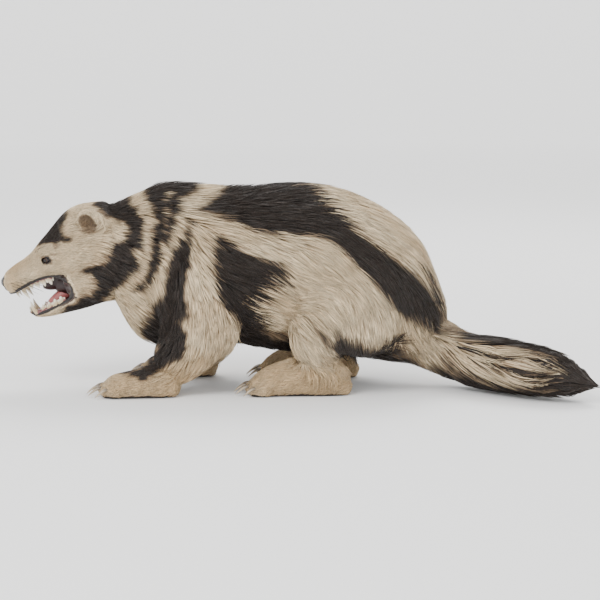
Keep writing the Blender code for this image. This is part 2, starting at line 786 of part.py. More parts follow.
def half_space_cell(planes, grow):
    """The closed convex block inside all these planes, each a point and an outward normal."""
    work = bmesh.new()
    bmesh.ops.create_cube(work, size=4.0)
    for point, normal in planes:
        normal = Vector(normal).normalized()
        cut = bmesh.ops.bisect_plane(
            work,
            geom=work.verts[:] + work.edges[:] + work.faces[:],
            plane_co=Vector(point) + normal * grow,
            plane_no=normal,
            clear_outer=True,
        )
        edges = [e for e in cut["geom_cut"] if isinstance(e, bmesh.types.BMEdge)]
        bmesh.ops.edgenet_fill(work, edges=edges)
    bmesh.ops.recalc_face_normals(work, faces=work.faces)
    mesh = bpy.data.meshes.new("cell")
    work.to_mesh(mesh)
    work.free()
    obj = bpy.data.objects.new("cell", mesh)
    bpy.context.scene.collection.objects.link(obj)
    return obj


def part_off(whole, name, planes):
    """Cuts the named piece, which lies inside these planes, off the whole."""
    piece = bpy.data.objects.new(name, whole.data.copy())
    bpy.context.scene.collection.objects.link(piece)
    inner = half_space_cell(planes, -GAP / 2)
    boolean(piece, inner, "INTERSECT")
    outer = half_space_cell(planes, GAP / 2)
    boolean(whole, outer, "DIFFERENCE")
    bpy.data.objects.remove(inner)
    bpy.data.objects.remove(outer)
    return largest_surface(piece)


def head_plane(back, side, height, normal):
    """A plane given by a point and a normal in the head's own axes."""
    return head_point(back, side, height), head_matrix().to_3x3() @ Vector(normal)


def leg_planes(side, low, high, front, back):
    """The block round the upper part of a leg: in front, behind, and outside a leaning inner plane."""
    inner = Vector((0, low[0], low[1]))
    lean = Vector((0, high[0] - low[0], high[1] - low[1]))
    normal = Vector((0, -lean.z, lean.y))
    if normal.y > 0:
        normal = -normal
    return (
        ((0, side * inner.y, inner.z), (0, side * normal.y, normal.z)),
        front,
        back,
    )


def part_all(whole):
    """Parts the whole animal into its named pieces. What is left at the end is the torso."""
    pieces = []
    for name, side in (("left", -1), ("right", 1)):
        front, back = FRONT_REACH[name], HIND_REACH[name]
        inner, above = ((0, side * 0.026, 0), (0, -side, 0)), ((0, 0, 0.070), (0, 0, 1))
        wrist = (
            ((-0.192 + front, 0, 0.036), (0.55, 0, 1)),
            ((-0.165 + front, 0, 0), (1, 0, 0)),
            ((-0.380, 0, 0), (-1, 0, 0)),
            inner,
            above,
        )
        pieces.append(part_off(whole, f"front_paw_{name}", wrist))
        heel = (
            ((0.042 + back, 0, 0.049), (-0.22, 0, 1)),
            ((0.105 + back, 0, 0), (1, 0, 0)),
            ((-0.130, 0, 0), (-1, 0, 0)),
            inner,
            above,
        )
        pieces.append(part_off(whole, f"hind_paw_{name}", heel))
        ear = (
            head_plane(0.184, side * 0.0625, 0.040, (0, -side, -0.42)),
            head_plane(0.150, 0, 0, (-1, 0, 0)),
            head_plane(0.218, 0, 0, (1, 0, 0)),
            head_plane(0, 0, 0.006, (0, 0, -1)),
        )
        pieces.append(part_off(whole, f"ear_{name}", ear))
    pad = (head_plane(0.0090, 0, 0, (1, 0, 0.22)), head_plane(0, 0, -0.0195, (-0.3, 0, -1)))
    pieces.append(part_off(whole, "nose", pad))
    tongue = (
        head_plane(0, 0, -0.0640, (0, 0, -1)),
        head_plane(0.118, 0, 0, (1, 0, 0)),
        head_plane(0.044, 0, 0, (-1, 0, 0)),
        head_plane(0, 0.0112, 0, (0, 1, 0)),
        head_plane(0, -0.0112, 0, (0, -1, 0)),
        head_plane(0, 0, -0.040, (0, 0, 1)),
    )
    pieces.append(part_off(whole, "tongue", tongue))
    jaw = (
        head_plane(0.030, 0, -0.0435, (0.12, 0, 1)),
        head_plane(0.150, 0, 0, (1, 0, 0)),
        head_plane(0, 0, -0.100, (0, 0, -1)),
    )
    pieces.append(part_off(whole, "lower_jaw", jaw))
    pieces.append(part_off(whole, "head", (head_plane(0.186, 0, 0, (1, 0, -0.2)),)))
    pieces.append(part_off(whole, "neck", (((-0.262, 0, 0.2), (1, 0, -0.28)),)))
    pieces.append(part_off(whole, "tail", (((0.220, 0, 0.088), (-1, 0, 0.6)),)))
    for name, side in (("left", -1), ("right", 1)):
        chest, elbow = ((-0.262, 0, 0.1), (-1, 0, 0)), ((-0.092, 0, 0.1), (1, 0, 0))
        fore = leg_planes(side, (0.040, 0.03), (0.124, 0.25), chest, elbow)
        pieces.append(part_off(whole, f"front_leg_{name}", fore))
        flank, rump = ((-0.025, 0, 0.07), (-0.9, 0, 0.42)), ((0.205, 0, 0.1), (1, 0, 0.3))
        hind = leg_planes(side, (0.034, 0.03), (0.134, 0.25), flank, rump)
        pieces.append(part_off(whole, f"hind_leg_{name}", hind))
    whole.name = "torso"
    pieces.append(largest_surface(whole))
    return pieces


def add_eyes():
    """The two eyeballs."""
    eyes = []
    for name, side in (("left", -1), ("right", 1)):
        centre = head_point(EYE_T, side * EYE_SIDE, EYE_H)
        turn = head_matrix().to_3x3() @ Matrix.Rotation(math.radians(side * 28), 3, "Z")
        eyes.append(ellipsoid(f"eye_{name}", centre, [EYE_RADIUS] * 3, turn, 12))
    return eyes


def recentred(objects):
    """Moves the objects together so that the middle of their underside is at the origin."""
    corners = [obj.matrix_world @ v.co for obj in objects for v in obj.data.vertices]
    low = Vector(min(c[i] for c in corners) for i in range(3))
    high = Vector(max(c[i] for c in corners) for i in range(3))
    shift = Matrix.Translation((-(low.x + high.x) / 2, -(low.y + high.y) / 2, -low.z))
    for obj in objects:
        obj.data.transform(shift)


def finished(obj):
    """Sets the object's origin at its middle and gives it its material."""
    corners = [v.co for v in obj.data.vertices]
    middle = sum(corners, Vector()) / len(corners)
    obj.data.transform(Matrix.Translation(-middle))
    obj.location = middle
    look = next(look for start, look in LOOKS.items() if obj.name.startswith(start))
    material = bpy.data.materials.new(obj.name)
    material.use_nodes = True
    shader = material.node_tree.nodes["Principled BSDF"]
    shader.inputs["Base Color"].default_value = (*look.color, 1)
    shader.inputs["Roughness"].default_value = look.roughness
    shader.inputs["Metallic"].default_value = 0
    obj.data.materials.clear()
    obj.data.materials.append(material)
    obj.data.name = obj.name


def main():
    """Builds the animal, parts it and gives each piece its material."""
    clear_scene()
    head = head_mass()
    add_lids(head)
    add_nostrils(head)
    body = body_mass()
    parts = [body, head, tongue_shape(), ear_shape(-1), ear_shape(1)]
    parts += all_locks(body) + upper_teeth() + lower_teeth()
    for name, side in (("left", -1), ("right", 1)):
        parts.append(paw_shape("paw", front_paw(side, FRONT_REACH[name])))
        parts.append(paw_shape("foot", hind_paw(side, HIND_REACH[name])))
    whole = united("whole", parts)
    floor = half_space_cell((((0, 0, 0), (0, 0, -1)),), 0)
    boolean(whole, floor, "INTERSECT")
    bpy.data.objects.remove(floor)
    pieces = part_all(whole) + add_eyes()
    recentred(pieces)
    for piece in pieces:
        finished(piece)


main()
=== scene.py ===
"""The looks of a still, life-size wolverine that stalks low with its mouth open in a snarl.

The animal faces -X and its left side is towards -Y. Sizes are in metres, but the tables of the body's
sections and of the coat's markings are in millimetres. Every piece is built in the animal's own axes, with
the feet on the floor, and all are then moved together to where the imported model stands.
"""

import logging
import math
from collections.abc import Sequence
from dataclasses import astuple, dataclass, field, replace
from enum import Enum

import bmesh
import bpy
import numpy as np
from mathutils import Matrix, Vector
from mathutils.bvhtree import BVHTree
from mathutils.kdtree import KDTree

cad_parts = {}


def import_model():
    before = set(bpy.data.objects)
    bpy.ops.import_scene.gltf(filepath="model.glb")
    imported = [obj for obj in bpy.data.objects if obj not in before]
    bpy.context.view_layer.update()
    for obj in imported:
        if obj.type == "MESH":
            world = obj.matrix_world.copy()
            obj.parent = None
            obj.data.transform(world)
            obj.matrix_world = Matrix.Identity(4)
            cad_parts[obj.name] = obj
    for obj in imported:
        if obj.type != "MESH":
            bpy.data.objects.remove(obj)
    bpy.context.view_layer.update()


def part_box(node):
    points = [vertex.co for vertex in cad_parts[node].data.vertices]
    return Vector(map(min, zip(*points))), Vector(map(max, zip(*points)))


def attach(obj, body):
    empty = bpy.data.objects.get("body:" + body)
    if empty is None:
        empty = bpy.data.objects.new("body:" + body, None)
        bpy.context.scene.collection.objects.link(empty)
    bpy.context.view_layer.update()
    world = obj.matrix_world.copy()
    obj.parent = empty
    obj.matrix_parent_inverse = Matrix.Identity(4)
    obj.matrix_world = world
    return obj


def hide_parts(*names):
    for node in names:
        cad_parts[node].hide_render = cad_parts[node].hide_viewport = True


LOG = logging.getLogger("wolverine")

Array = np.ndarray
Thing = bpy.types.Object
Socket = bpy.types.NodeSocket
Row = tuple[float, ...]

UNWRAP = "OFBake"
NOSE_TIP = Vector((-0.4925, 0.0, 0.172))
HEAD_PITCH = math.radians(22.0)
EYE_AT = (0.093, 0.0410, 0.0085)
EYE_RADIUS = 0.0084
EYE_TURN = 28.0
FRONT_STANCE, HIND_STANCE = 0.092, 0.076
BODY_NODES = (
    "head", "lower_jaw", "ear_left", "ear_right", "neck", "torso", "tail",
    "front_leg_left", "front_leg_right", "front_paw_left", "front_paw_right",
    "hind_leg_left", "hind_leg_right", "hind_paw_left", "hind_paw_right",
)


class Side(Enum):
    """The two sides of the animal, with the sign of their Y."""

    LEFT = -1
    RIGHT = 1

    @property
    def word(self) -> str:
        """The side's name in a piece's name."""
        return self.name.lower()


class Zone(Enum):
    """The parts of the body between which the coat differs."""

    HEAD = 0
    JAW = 1
    NECK = 2
    TRUNK = 3
    TAIL = 4
    ARM = 5
    HAND = 6
    THIGH = 7
    FOOT = 8
    EAR = 9


# How far each leg stands behind the near one of its pair
FRONT_STEP = {Side.LEFT: 0.0, Side.RIGHT: 0.052}
HIND_STEP = {Side.LEFT: 0.0, Side.RIGHT: 0.016}


@dataclass(frozen=True)
class Section:
    """One cross-section of a body part: its centre, its heading, and its reach up, down and sideways."""

    x: float
    y: float
    z: float
    tilt: float
    up: float
    down: float
    side: float
    turn: float = 0.0
    roundness: float = 1.0

    @classmethod
    def of(
        cls, x: float, y: float, z: float, tilt: float, up: float, down: float, side: float, turn: float = 0.0
    ) -> "Section":
        """A section from sizes in millimetres and angles in degrees.

        Args:
            x: middle along the body.
            y: middle across the body.
            z: middle's height.
            tilt: how far the heading points down.
            up: reach up.
            down: reach down.
            side: reach sideways.
            turn: how far the heading points to the side.

        Returns:
            The section in metres.
        """
        return cls(x / 1000, y / 1000, z / 1000, tilt, up / 1000, down / 1000, side / 1000, turn)

    @property
    def middle(self) -> Vector:
        """The middle of the section."""
        return Vector((self.x, self.y, self.z))

    def axes(self) -> tuple[Vector, Vector, Vector]:
        """The heading, sideways and upward directions.

        Returns:
            The three directions, each of length 1.
        """
        tilt, rotation = math.radians(self.tilt), Matrix.Rotation(math.radians(self.turn), 3, "Z")
        heading = rotation @ Vector((math.cos(tilt), 0, -math.sin(tilt)))
        upward = rotation @ Vector((math.sin(tilt), 0, math.cos(tilt)))
        return heading, rotation @ Vector((0, 1, 0)), upward

    def rim(self, angle: float, inset: float) -> Vector:
        """A point on the rim, where angle 0 is the side and a quarter turn is the top.

        Args:
            angle: the angle round the section, in radians.
            inset: how far inside the rim.

        Returns:
            The point.
        """
        _, sideways, upward = self.axes()
        c, s = math.cos(angle), math.sin(angle)
        reach = (self.up if s > 0 else self.down) - inset
        across = (self.side - inset) * math.copysign(abs(c) ** self.roundness, c)
        return self.middle + sideways * across + upward * reach * math.copysign(abs(s) ** self.roundness, s)


def head_matrix() -> Matrix:
    """From the head's own axes, back, sideways and up from the nose tip, to the animal's."""
    return Matrix.Translation(NOSE_TIP) @ Matrix.Rotation(-HEAD_PITCH, 4, "Y")


def head_point(back: float, side: float, height: float) -> Vector:
    """A point of the head, given in the head's own axes."""
    return head_matrix() @ Vector((back, side, height))


def in_head(points: Array) -> Array:
    """The points in the head's own axes."""
    inverse = np.array(head_matrix().inverted())
    return points @ inverse[:3, :3].T + inverse[:3, 3]


def mirrored(place: Sequence[float], side: Side) -> Row:
    """A place given for the right side, on either side."""
    return place[0], side.value * place[1], place[2]


def eye_frame(side: Side) -> tuple[Vector, Matrix]:
    """The middle of an eye and how it is turned."""
    turn = head_matrix().to_3x3() @ Matrix.Rotation(math.radians(side.value * EYE_TURN), 3, "Z")
    return head_point(*mirrored(EYE_AT, side)), turn


def smoothstep(low: float, high: float, value: Array) -> Array:
    """0 at low, 1 at high, and a smooth change between."""
    t = np.clip((value - low) / (high - low), 0, 1)
    return t * t * (3 - 2 * t)


def unit(vectors: Array) -> Array:
    """The vectors at length 1."""
    return vectors / np.maximum(np.linalg.norm(vectors, axis=-1, keepdims=True), 1e-9)


def spline(rows: Array, at: float) -> Array:
    """A Catmull-Rom reading of rows of values at a place counted in rows.

    Args:
        rows: the rows of values.
        at: the place, where 0 is the first row.

    Returns:
        The values there.
    """
    last = len(rows) - 1
    i = min(int(at), last - 1)
    t = at - i
    before = rows[i - 1] if i > 0 else 2 * rows[0] - rows[1]
    after = rows[i + 2] if i + 2 <= last else 2 * rows[last] - rows[last - 1]
    a, b = rows[i], rows[i + 1]
    slope, square, cube = b - before, 2 * before - 5 * a + 4 * b - after, 3 * a - before - 3 * b + after
    return 0.5 * (2 * a + slope * t + square * t**2 + cube * t**3)


def laid(vectors: Array, normals: Array) -> Array:
    """The vectors laid flat on surfaces with these normals."""
    return vectors - normals * (vectors * normals).sum(1, keepdims=True)


def waves(points: Array, size: float, seed: int) -> Array:
    """A smooth seeded ripple over space, from about -1 to 1, whose humps are about as wide as size.

    Args:
        points: places in the animal's own axes, a row each.
        size: how wide a hump is.
        seed: the seed of the directions.

    Returns:
        The ripple at each point.
    """
    rng = np.random.default_rng(seed)
    total = np.zeros(len(points))
    for _ in range(9):
        direction = unit(rng.normal(size=3)) * rng.uniform(0.6, 1.5) * math.pi / size
        total += np.sin(points @ direction + rng.uniform(0, 2 * math.pi))
    return total / 3.2


def search_tree(places: Sequence[Sequence[float]]) -> KDTree:
    """A search tree of places, numbered in their order.

    Args:
        places: the places.

    Returns:
        The tree.
    """
    tree = KDTree(len(places))
    for i, place in enumerate(places):
        tree.insert(place, i)
    tree.balance()
    return tree


def read(items: bpy.types.bpy_prop_collection, name: str, width: int, kind: type = np.float64) -> Array:
    """One value of every item of a mesh, in rows of that width.

    Args:
        items: the mesh's points, edges, loops or triangles.
        name: which value.
        width: how many numbers an item has.
        kind: the type of number.

    Returns:
        A row for each item.
    """
    values = np.empty(len(items) * width, kind)
    items.foreach_get(name, values)
    return values.reshape(-1, width)


def linked(name: str, mesh: bpy.types.Mesh) -> Thing:
    """A new object of that mesh, in the scene.

    Args:
        name: the new object's name.
        mesh: its mesh.

    Returns:
        The object.
    """
    obj = bpy.data.objects.new(name, mesh)
    bpy.context.scene.collection.objects.link(obj)
    return obj


def mesh_object(name: str, points: Sequence, faces: Sequence) -> Thing:
    """A new object with a mesh of these points and faces, its faces pointing out.

    Args:
        name: the new object's name.
        points: its points.
        faces: its faces, as indices into the points.

    Returns:
        The object.
    """
    mesh = bpy.data.meshes.new(name)
    mesh.from_pydata([tuple(p) for p in points], [], [tuple(f) for f in faces])
    work = bmesh.new()
    work.from_mesh(mesh)
    bmesh.ops.recalc_face_normals(work, faces=work.faces)
    work.to_mesh(mesh)
    work.free()
    return linked(name, mesh)


def named(obj: Thing, name: str) -> Thing:
    """The object, with that name for itself and its mesh."""
    obj.name = obj.data.name = name
    return obj


def applied(obj: Thing) -> Thing:
    """Replaces the object's mesh by what its modifiers make of it.

    Args:
        obj: the object.

    Returns:
        The same object.
    """
    graph = bpy.context.evaluated_depsgraph_get()
    mesh = bpy.data.meshes.new_from_object(obj.evaluated_get(graph))
    obj.modifiers.clear()
    old, obj.data = obj.data, mesh
    bpy.data.meshes.remove(old)
    return obj


def boolean(obj: Thing, other: Thing, operation: str) -> Thing:
    """Applies one Boolean with another object, which is then removed.

    Args:
        obj: the object that is changed.
        other: the object that is used up.
        operation: UNION or DIFFERENCE.

    Returns:
        The changed object.
    """
    step = obj.modifiers.new(operation.lower(), "BOOLEAN")
    step.operation, step.solver, step.object = operation, "MANIFOLD", other
    applied(obj)
    bpy.data.objects.remove(other)
    return obj


def ellipsoid(
    centre: Vector, radii: Sequence[float], turn: Matrix | None = None, segments: int = 32
) -> Thing:
    """A closed ellipsoid, set square unless a turn is given.

    Args:
        centre: its middle.
        radii: its three radii.
        turn: how it is turned.
        segments: how many segments it has round its axis.

    Returns:
        The object.
    """
    work = bmesh.new()
    bmesh.ops.create_uvsphere(work, u_segments=segments, v_segments=segments // 2, radius=1.0)
    turned = (turn or Matrix.Identity(3)).to_4x4()
    matrix = Matrix.Translation(centre) @ turned @ Matrix.Diagonal((*radii, 1))
    bmesh.ops.transform(work, matrix=matrix, verts=work.verts)
    mesh = bpy.data.meshes.new("ellipsoid")
    work.to_mesh(mesh)
    work.free()
    return linked("ellipsoid", mesh)


def head_ellipsoid(
    place: Sequence[float], radii: Sequence[float], turn: float = 0.0, segments: int = 32
) -> Thing:
    """An ellipsoid set in the head's axes. turn is its angle about their upright axis."""
    axes = head_matrix().to_3x3() @ Matrix.Rotation(math.radians(turn), 3, "Z")
    return ellipsoid(head_point(*place), radii, axes, segments)


def wall(rings: int, around: int) -> list[Sequence[int]]:
    """The four-sided faces between rings of points that follow one another.

    Args:
        rings: how many rings.
        around: how many points to a ring.

    Returns:
        The faces, as indices into the points.
    """
    faces = []
    for i in range(rings - 1):
        for k in range(around):
            a, b = i * around + k, i * around + (k + 1) % around
            faces.append((a, b, b + around, a + around))
    return faces


def rod(points: Sequence[Vector], radii: Sequence[float], sides: int = 10, flat: float = 1.0) -> Thing:
    """A closed round bar through the points, with a radius at each. flat below 1 thins it one way.

    Args:
        points: places along the middle line.
        radii: the radius at each place.
        sides: how many sides it has.
        flat: the factor on its thickness.

    Returns:
        The object.
    """
    rings, across = [], None
    for i, point in enumerate(points):
        ahead = (points[min(i + 1, len(points) - 1)] - points[max(i - 1, 0)]).normalized()
        across = (ahead.orthogonal() if across is None else across - ahead * across.dot(ahead)).normalized()
        other = ahead.cross(across)
        for k in range(sides):
            a = 2 * math.pi * k / sides
            rings.append(point + (across * math.cos(a) + other * math.sin(a) * flat) * radii[i])
    last = (len(points) - 1) * sides
    faces = [*wall(len(points), sides), range(sides), range(last, last + sides)]
    return mesh_object("rod", rings, faces)


def smooth_path(points: Sequence[Vector], count: int) -> list[Vector]:
    """Points spread along a smooth curve through the given ones."""
    rows = np.array([tuple(p) for p in points])
    return [Vector(spline(rows, i / (count - 1) * (len(rows) - 1))) for i in range(count)]


def joined(name: str, objects: Sequence[Thing]) -> Thing:
    """One object with the meshes of all of these, which are then removed.

    Args:
        name: the new object's name.
        objects: the objects, which are used up.

    Returns:
        The object.
    """
    work = bmesh.new()
    for obj in objects:
        work.from_mesh(obj.data)
        bpy.data.objects.remove(obj)
    mesh = bpy.data.meshes.new(name)
    work.to_mesh(mesh)
    work.free()
    return linked(name, mesh)


def blended(objects: Sequence[Thing], voxel: float, smoothing: int) -> Thing:
    """One smooth closed surface round these overlapping closed objects.

    Args:
        objects: the objects, which are used up.
        voxel: the size of the surface's faces.
        smoothing: how often it is smoothed.

    Returns:
        The object.
    """
    whole = joined("whole", objects)
    remesh = whole.modifiers.new("remesh", "REMESH")
    remesh.mode, remesh.voxel_size = "VOXEL", voxel
    smooth = whole.modifiers.new("smooth", "SMOOTH")
    smooth.factor, smooth.iterations = 0.5, smoothing
    return applied(whole)


@dataclass(frozen=True)
class Tube:
    """A part of the body as a closed tube through sections, set in from the coat's tips by inset."""

    zone: Zone
    sections: tuple[Section, ...]
    inset: float

    def at(self, share: float) -> Section:
        """The section at a share from 0 to 1 of the way along."""
        rows = np.array([astuple(s) for s in self.sections])
        return Section(*spline(rows, share * (len(rows) - 1)))

    def loft(self, around: int = 32, between: int = 6) -> Thing:
        """The tube as a mesh object with domed ends.

        Args:
            around: how many points to a ring.
            between: how many rings to a section.

        Returns:
            The object.
        """
        count = (len(self.sections) - 1) * between + 1
        points, faces = [], wall(count, around)
        for i in range(count):
            section = self.at(i / (count - 1))
            points += [section.rim(2 * math.pi * k / around, self.inset) for k in range(around)]
        for index, end, ring in ((0, -1, 0), (-1, 1, count - 1)):
            section = self.sections[index]
            dome = 0.45 * (min(section.up, section.down, section.side) - self.inset)
            points.append(section.middle + section.axes()[0] * end * dome)
            tip, base = len(points) - 1, ring * around
            faces += [(base + k, base + (k + 1) % around, tip) for k in range(around)]
        return mesh_object("loft", points, faces)

    def spine(self, count: int = 24) -> tuple[Array, Array, Array]:
        """Points along the middle line, with their headings and mean radii.

        Args:
            count: how many points.

        Returns:
            The points, headings and radii.
        """
        sections = [self.at(i / (count - 1)) for i in range(count)]
        places = np.array([(s.x, s.y, s.z) for s in sections])
        headings = np.array([tuple(s.axes()[0]) for s in sections])
        radii = np.array([(s.up + s.down + 2 * s.side) / 4 for s in sections])
        return places, headings, radii


@dataclass(frozen=True)
class Growth:
    """How the coat grows on a part: a tuft's length and width, its tip's rise off the skin, the roots'
    spacing, and how far the tips of a lock draw together."""

    length: float
    width: float
    lift: float
    spacing: float
    clump: float


GROWTHS = {
    Zone.HEAD: Growth(0.0100, 0.00105, 0.0019, 0.00158, 0.15),
    Zone.JAW: Growth(0.0115, 0.00105, 0.0021, 0.00160, 0.15),
    Zone.NECK: Growth(0.042, 0.0019, 0.0100, 0.0032, 0.45),
    Zone.TRUNK: Growth(0.064, 0.0019, 0.0135, 0.0032, 0.50),
    Zone.TAIL: Growth(0.100, 0.0024, 0.0210, 0.0030, 0.66),
    Zone.ARM: Growth(0.034, 0.0018, 0.0070, 0.0029, 0.42),
    Zone.HAND: Growth(0.0115, 0.00115, 0.0018, 0.00170, 0.15),
    Zone.THIGH: Growth(0.046, 0.0020, 0.0075, 0.0031, 0.46),
    Zone.FOOT: Growth(0.0120, 0.00115, 0.0020, 0.00175, 0.15),
    Zone.EAR: Growth(0.0080, 0.00095, 0.0016, 0.00140, 0.10),
}


@dataclass(frozen=True)
class Anatomy:
    """The shapes of the body, head and feet, as sections measured to the coat's tips."""

    # x, y and z in millimetres, tilt in degrees, reach up, down and sideways, and turn in degrees
    trunk: tuple[Row, ...] = (
        (-275, 0, 200, 0, 98, 100, 70), (-250, 0, 197, 0, 125, 124, 90), (-215, 0, 195, 0, 142.5, 132, 104),
        (-166, 0, 195, 0, 136.5, 128, 111), (-118, 0, 195, 0, 130, 124, 112),
        (-70, 0, 195, 0, 138, 132, 116), (-22, 0, 195, 0, 143.5, 139, 121), (34, 0, 192, 4, 142.5, 136, 123),
        (85, 0, 180, 18, 130, 130, 120), (132, 0, 160, 32, 110, 124, 112), (163, 0, 138, 36, 88, 112, 98),
        (188, 0, 115, 36, 68, 90, 80), (208, 0, 98, 34, 56, 72, 64),
    )
    nape: tuple[Row, ...] = (
        (-365, 0, 222, 0, 70, 70, 56), (-335, 0, 220, 0, 81, 81, 67), (-305, 0, 220, 0, 84, 82, 74),
        (-280, 0, 212, 0, 100, 106, 81), (-255, 0, 203, 0, 118, 126, 90), (-225, 0, 197, 0, 137, 130, 97),
    )
    tail: tuple[Row, ...] = (
        (190, 0, 94, 36, 54, 66, 64), (218, -7, 78, 32, 50, 62, 62, -10),
        (252, -24, 62, 25, 47, 56, 58, -26), (292, -50, 53, 12, 45, 52, 56, -36),
        (332, -82, 49, 4, 43, 47, 55, -40), (372, -114, 47, 3, 41, 45, 53, -38),
        (405, -139, 43, 7, 36, 40, 46, -34), (430, -156, 37, 9, 29, 33, 36, -31),
    )
    # back from the nose tip, top, bottom, half width, height of the widest line, and roundness
    skull: tuple[Row, ...] = (
        (4, 6, -16.5, 14, -6, 0.9), (14, 12.5, -23, 22, -8, 0.86), (30, 18, -23.5, 30, -10, 0.84),
        (48, 21.5, -21.5, 33.5, -9, 0.84), (66, 27, -21.5, 39, -7, 0.86), (84, 37, -25, 46.5, -4, 0.9),
        (102, 46, -33, 56, -6, 0.94), (120, 56, -43, 62.5, -8, 0.97), (140, 65.5, -51, 67, -9, 1),
        (160, 69.5, -56, 68.5, -9, 1), (180, 66, -57, 66.5, -6, 1), (205, 56, -56, 61, -2, 1),
    )
    jaw: tuple[Row, ...] = (
        (26, -60, -67, 13, -64, 0.9), (34, -62, -76, 19, -68, 0.86), (50, -65, -81.5, 24, -72, 0.86),
        (70, -65.5, -85, 29, -73, 0.86), (90, -63.5, -87.5, 37, -72, 0.88), (108, -56, -90, 45, -70, 0.92),
        (126, -44, -91.5, 54, -66, 0.96), (146, -30, -92.5, 60, -60, 1), (168, -20, -95, 61, -56, 1),
        (190, -10, -96, 57, -52, 1),
    )
    # x, share of the leg's step back, share of its stance, z, tilt, and reach up, down and sideways
    arm: tuple[Row, ...] = (
        (-195, 0, 0.62, 245, 80, 55, 48, 30), (-185, 0, 0.8, 205, 78, 62, 56, 40),
        (-172, 0, 0.93, 155, 80, 64, 60, 44), (-160, 0.1, 1, 112, 100, 66, 60, 44),
        (-178, 0.4, 1, 78, 120, 52, 52, 40), (-203, 0.85, 1, 48, 128, 39, 42, 36),
        (-217, 1, 1, 30, 140, 22, 20, 26),
    )
    hand: tuple[Row, ...] = (
        (-314, 1, 1, 9, 0, 14, 16, 34), (-303, 1, 1, 13, 0, 19, 20, 40), (-280, 1, 1, 16, 0, 22, 24, 41),
        (-250, 1, 1, 18, 0, 27, 26, 39), (-222, 1, 1, 18, 0, 31, 26, 36), (-200, 1, 1, 15, 0, 22, 20, 29),
    )
    thigh: tuple[Row, ...] = (
        (140, 0, 0.6, 165, 152, 70, 72, 46), (105, 0.12, 0.98, 143, 146, 80, 82, 52),
        (66, 0.3, 1.18, 113, 138, 70, 72, 48), (36, 0.45, 1.22, 90, 110, 54, 54, 44),
        (36, 0.75, 1.1, 64, 70, 42, 42, 38), (46, 0.95, 1, 36, 60, 24, 24, 25),
    )
    foot: tuple[Row, ...] = (
        (-78, 1, 1, 9, 0, 15, 16, 34), (-66, 1, 1, 14, 0, 22, 21, 39), (-40, 1, 1, 19, 0, 31, 26, 38),
        (-5, 1, 1, 21, 0, 38, 28, 36), (35, 1, 1, 20, 0, 38, 28, 33), (62, 1, 1, 18, 0, 32, 26, 29),
        (77, 1, 1, 15, 0, 21, 20, 21),
    )

    @staticmethod
    def head_sections(rows: Sequence[Sequence[float]]) -> tuple[Section, ...]:
        """Sections of the head, given in its own axes, as sections of the body.

        Args:
            rows: the rows, with sizes in millimetres.

        Returns:
            The sections.
        """
        made = []
        pitch = -math.degrees(HEAD_PITCH)
        for *sizes, roundness in rows:
            back, top, bottom, side, widest = (size / 1000 for size in sizes)
            x, y, z = head_point(back, 0, widest)
            made.append(Section(x, y, z, pitch, top - widest, widest - bottom, side, 0, roundness))
        return tuple(made)

    def front_leg(self, side: Side) -> tuple[tuple[Section, ...], tuple[Section, ...]]:
        """A front leg from the shoulder to the wrist, and its paw from the knuckles to the heel pad.

        Args:
            side: the side of the animal.

        Returns:
            The sections of the leg and of the paw.
        """
        step = FRONT_STEP[side]
        arm = self.limb(self.arm, side, FRONT_STANCE, step)
        return arm, self.limb(self.hand, side, FRONT_STANCE + 0.002, step)

    def hind_leg(self, side: Side) -> tuple[tuple[Section, ...], tuple[Section, ...]]:
        """A hind leg from the hip to the heel, and its foot, which stands flat from the toes to the heel.

        Args:
            side: the side of the animal.

        Returns:
            The sections of the leg and of the foot.
        """
        step = HIND_STEP[side]
        thigh = self.limb(self.thigh, side, HIND_STANCE, step)
        return thigh, self.limb(self.foot, side, HIND_STANCE + 0.004, step)

    @staticmethod
    def limb(rows: Sequence[Row], side: Side, stance: float, step: float) -> tuple[Section, ...]:
        """The sections of a leg or paw on one side.

        Args:
            rows: the rows of the limb's table.
            side: the side of the animal.
            stance: how far it stands off the middle.
            step: how far it stands behind the near one.

        Returns:
            The sections.
        """
        made = []
        for x, follow, share, z, tilt, *reaches in rows:
            y = share * (side.value * stance)
            reaches = [reach / 1000 for reach in reaches]
            made.append(Section(x / 1000 + follow * step, y, z / 1000, tilt, *reaches))
        return tuple(made)

    def tubes(self) -> list[Tube]:
        """Every part of the body as a tube whose surface is the bare skin.

        Returns:
            The tubes.
        """
        made = [
            Tube(Zone.TRUNK, tuple(Section.of(*row) for row in self.trunk), 0.0145),
            Tube(Zone.NECK, tuple(Section.of(*row) for row in self.nape), 0.0110),
            Tube(Zone.TAIL, tuple(Section.of(*row) for row in self.tail), 0.0225),
            Tube(Zone.HEAD, self.head_sections(self.skull), 0.0013),
            Tube(Zone.JAW, self.head_sections(self.jaw), 0.0013),
        ]
        for side in Side:
            arm, hand = self.front_leg(side)
            thigh, foot = self.hind_leg(side)
            made += [Tube(Zone.ARM, arm, 0.0080), Tube(Zone.THIGH, thigh, 0.0080)]
            made += [Tube(Zone.HAND, hand, 0.0014), Tube(Zone.FOOT, foot, 0.0014)]
        return made


# across the paw, back from the foremost toe, splay in degrees
TOES = (
    (-0.031, 0.016, -16.0),
    (-0.0165, 0.004, -7.0),
    (0.000, 0.000, 0.0),
    (0.0165, 0.003, 7.0),
    (0.031, 0.013, 16.0),
)
TOE_BACK, TOE_HEIGHT = 0.004, 0.0105


@dataclass(frozen=True)
class ToePlace:
    """Where a toe is, which way it points and how it is turned."""

    middle: Vector
    ahead: Vector
    turn: Matrix


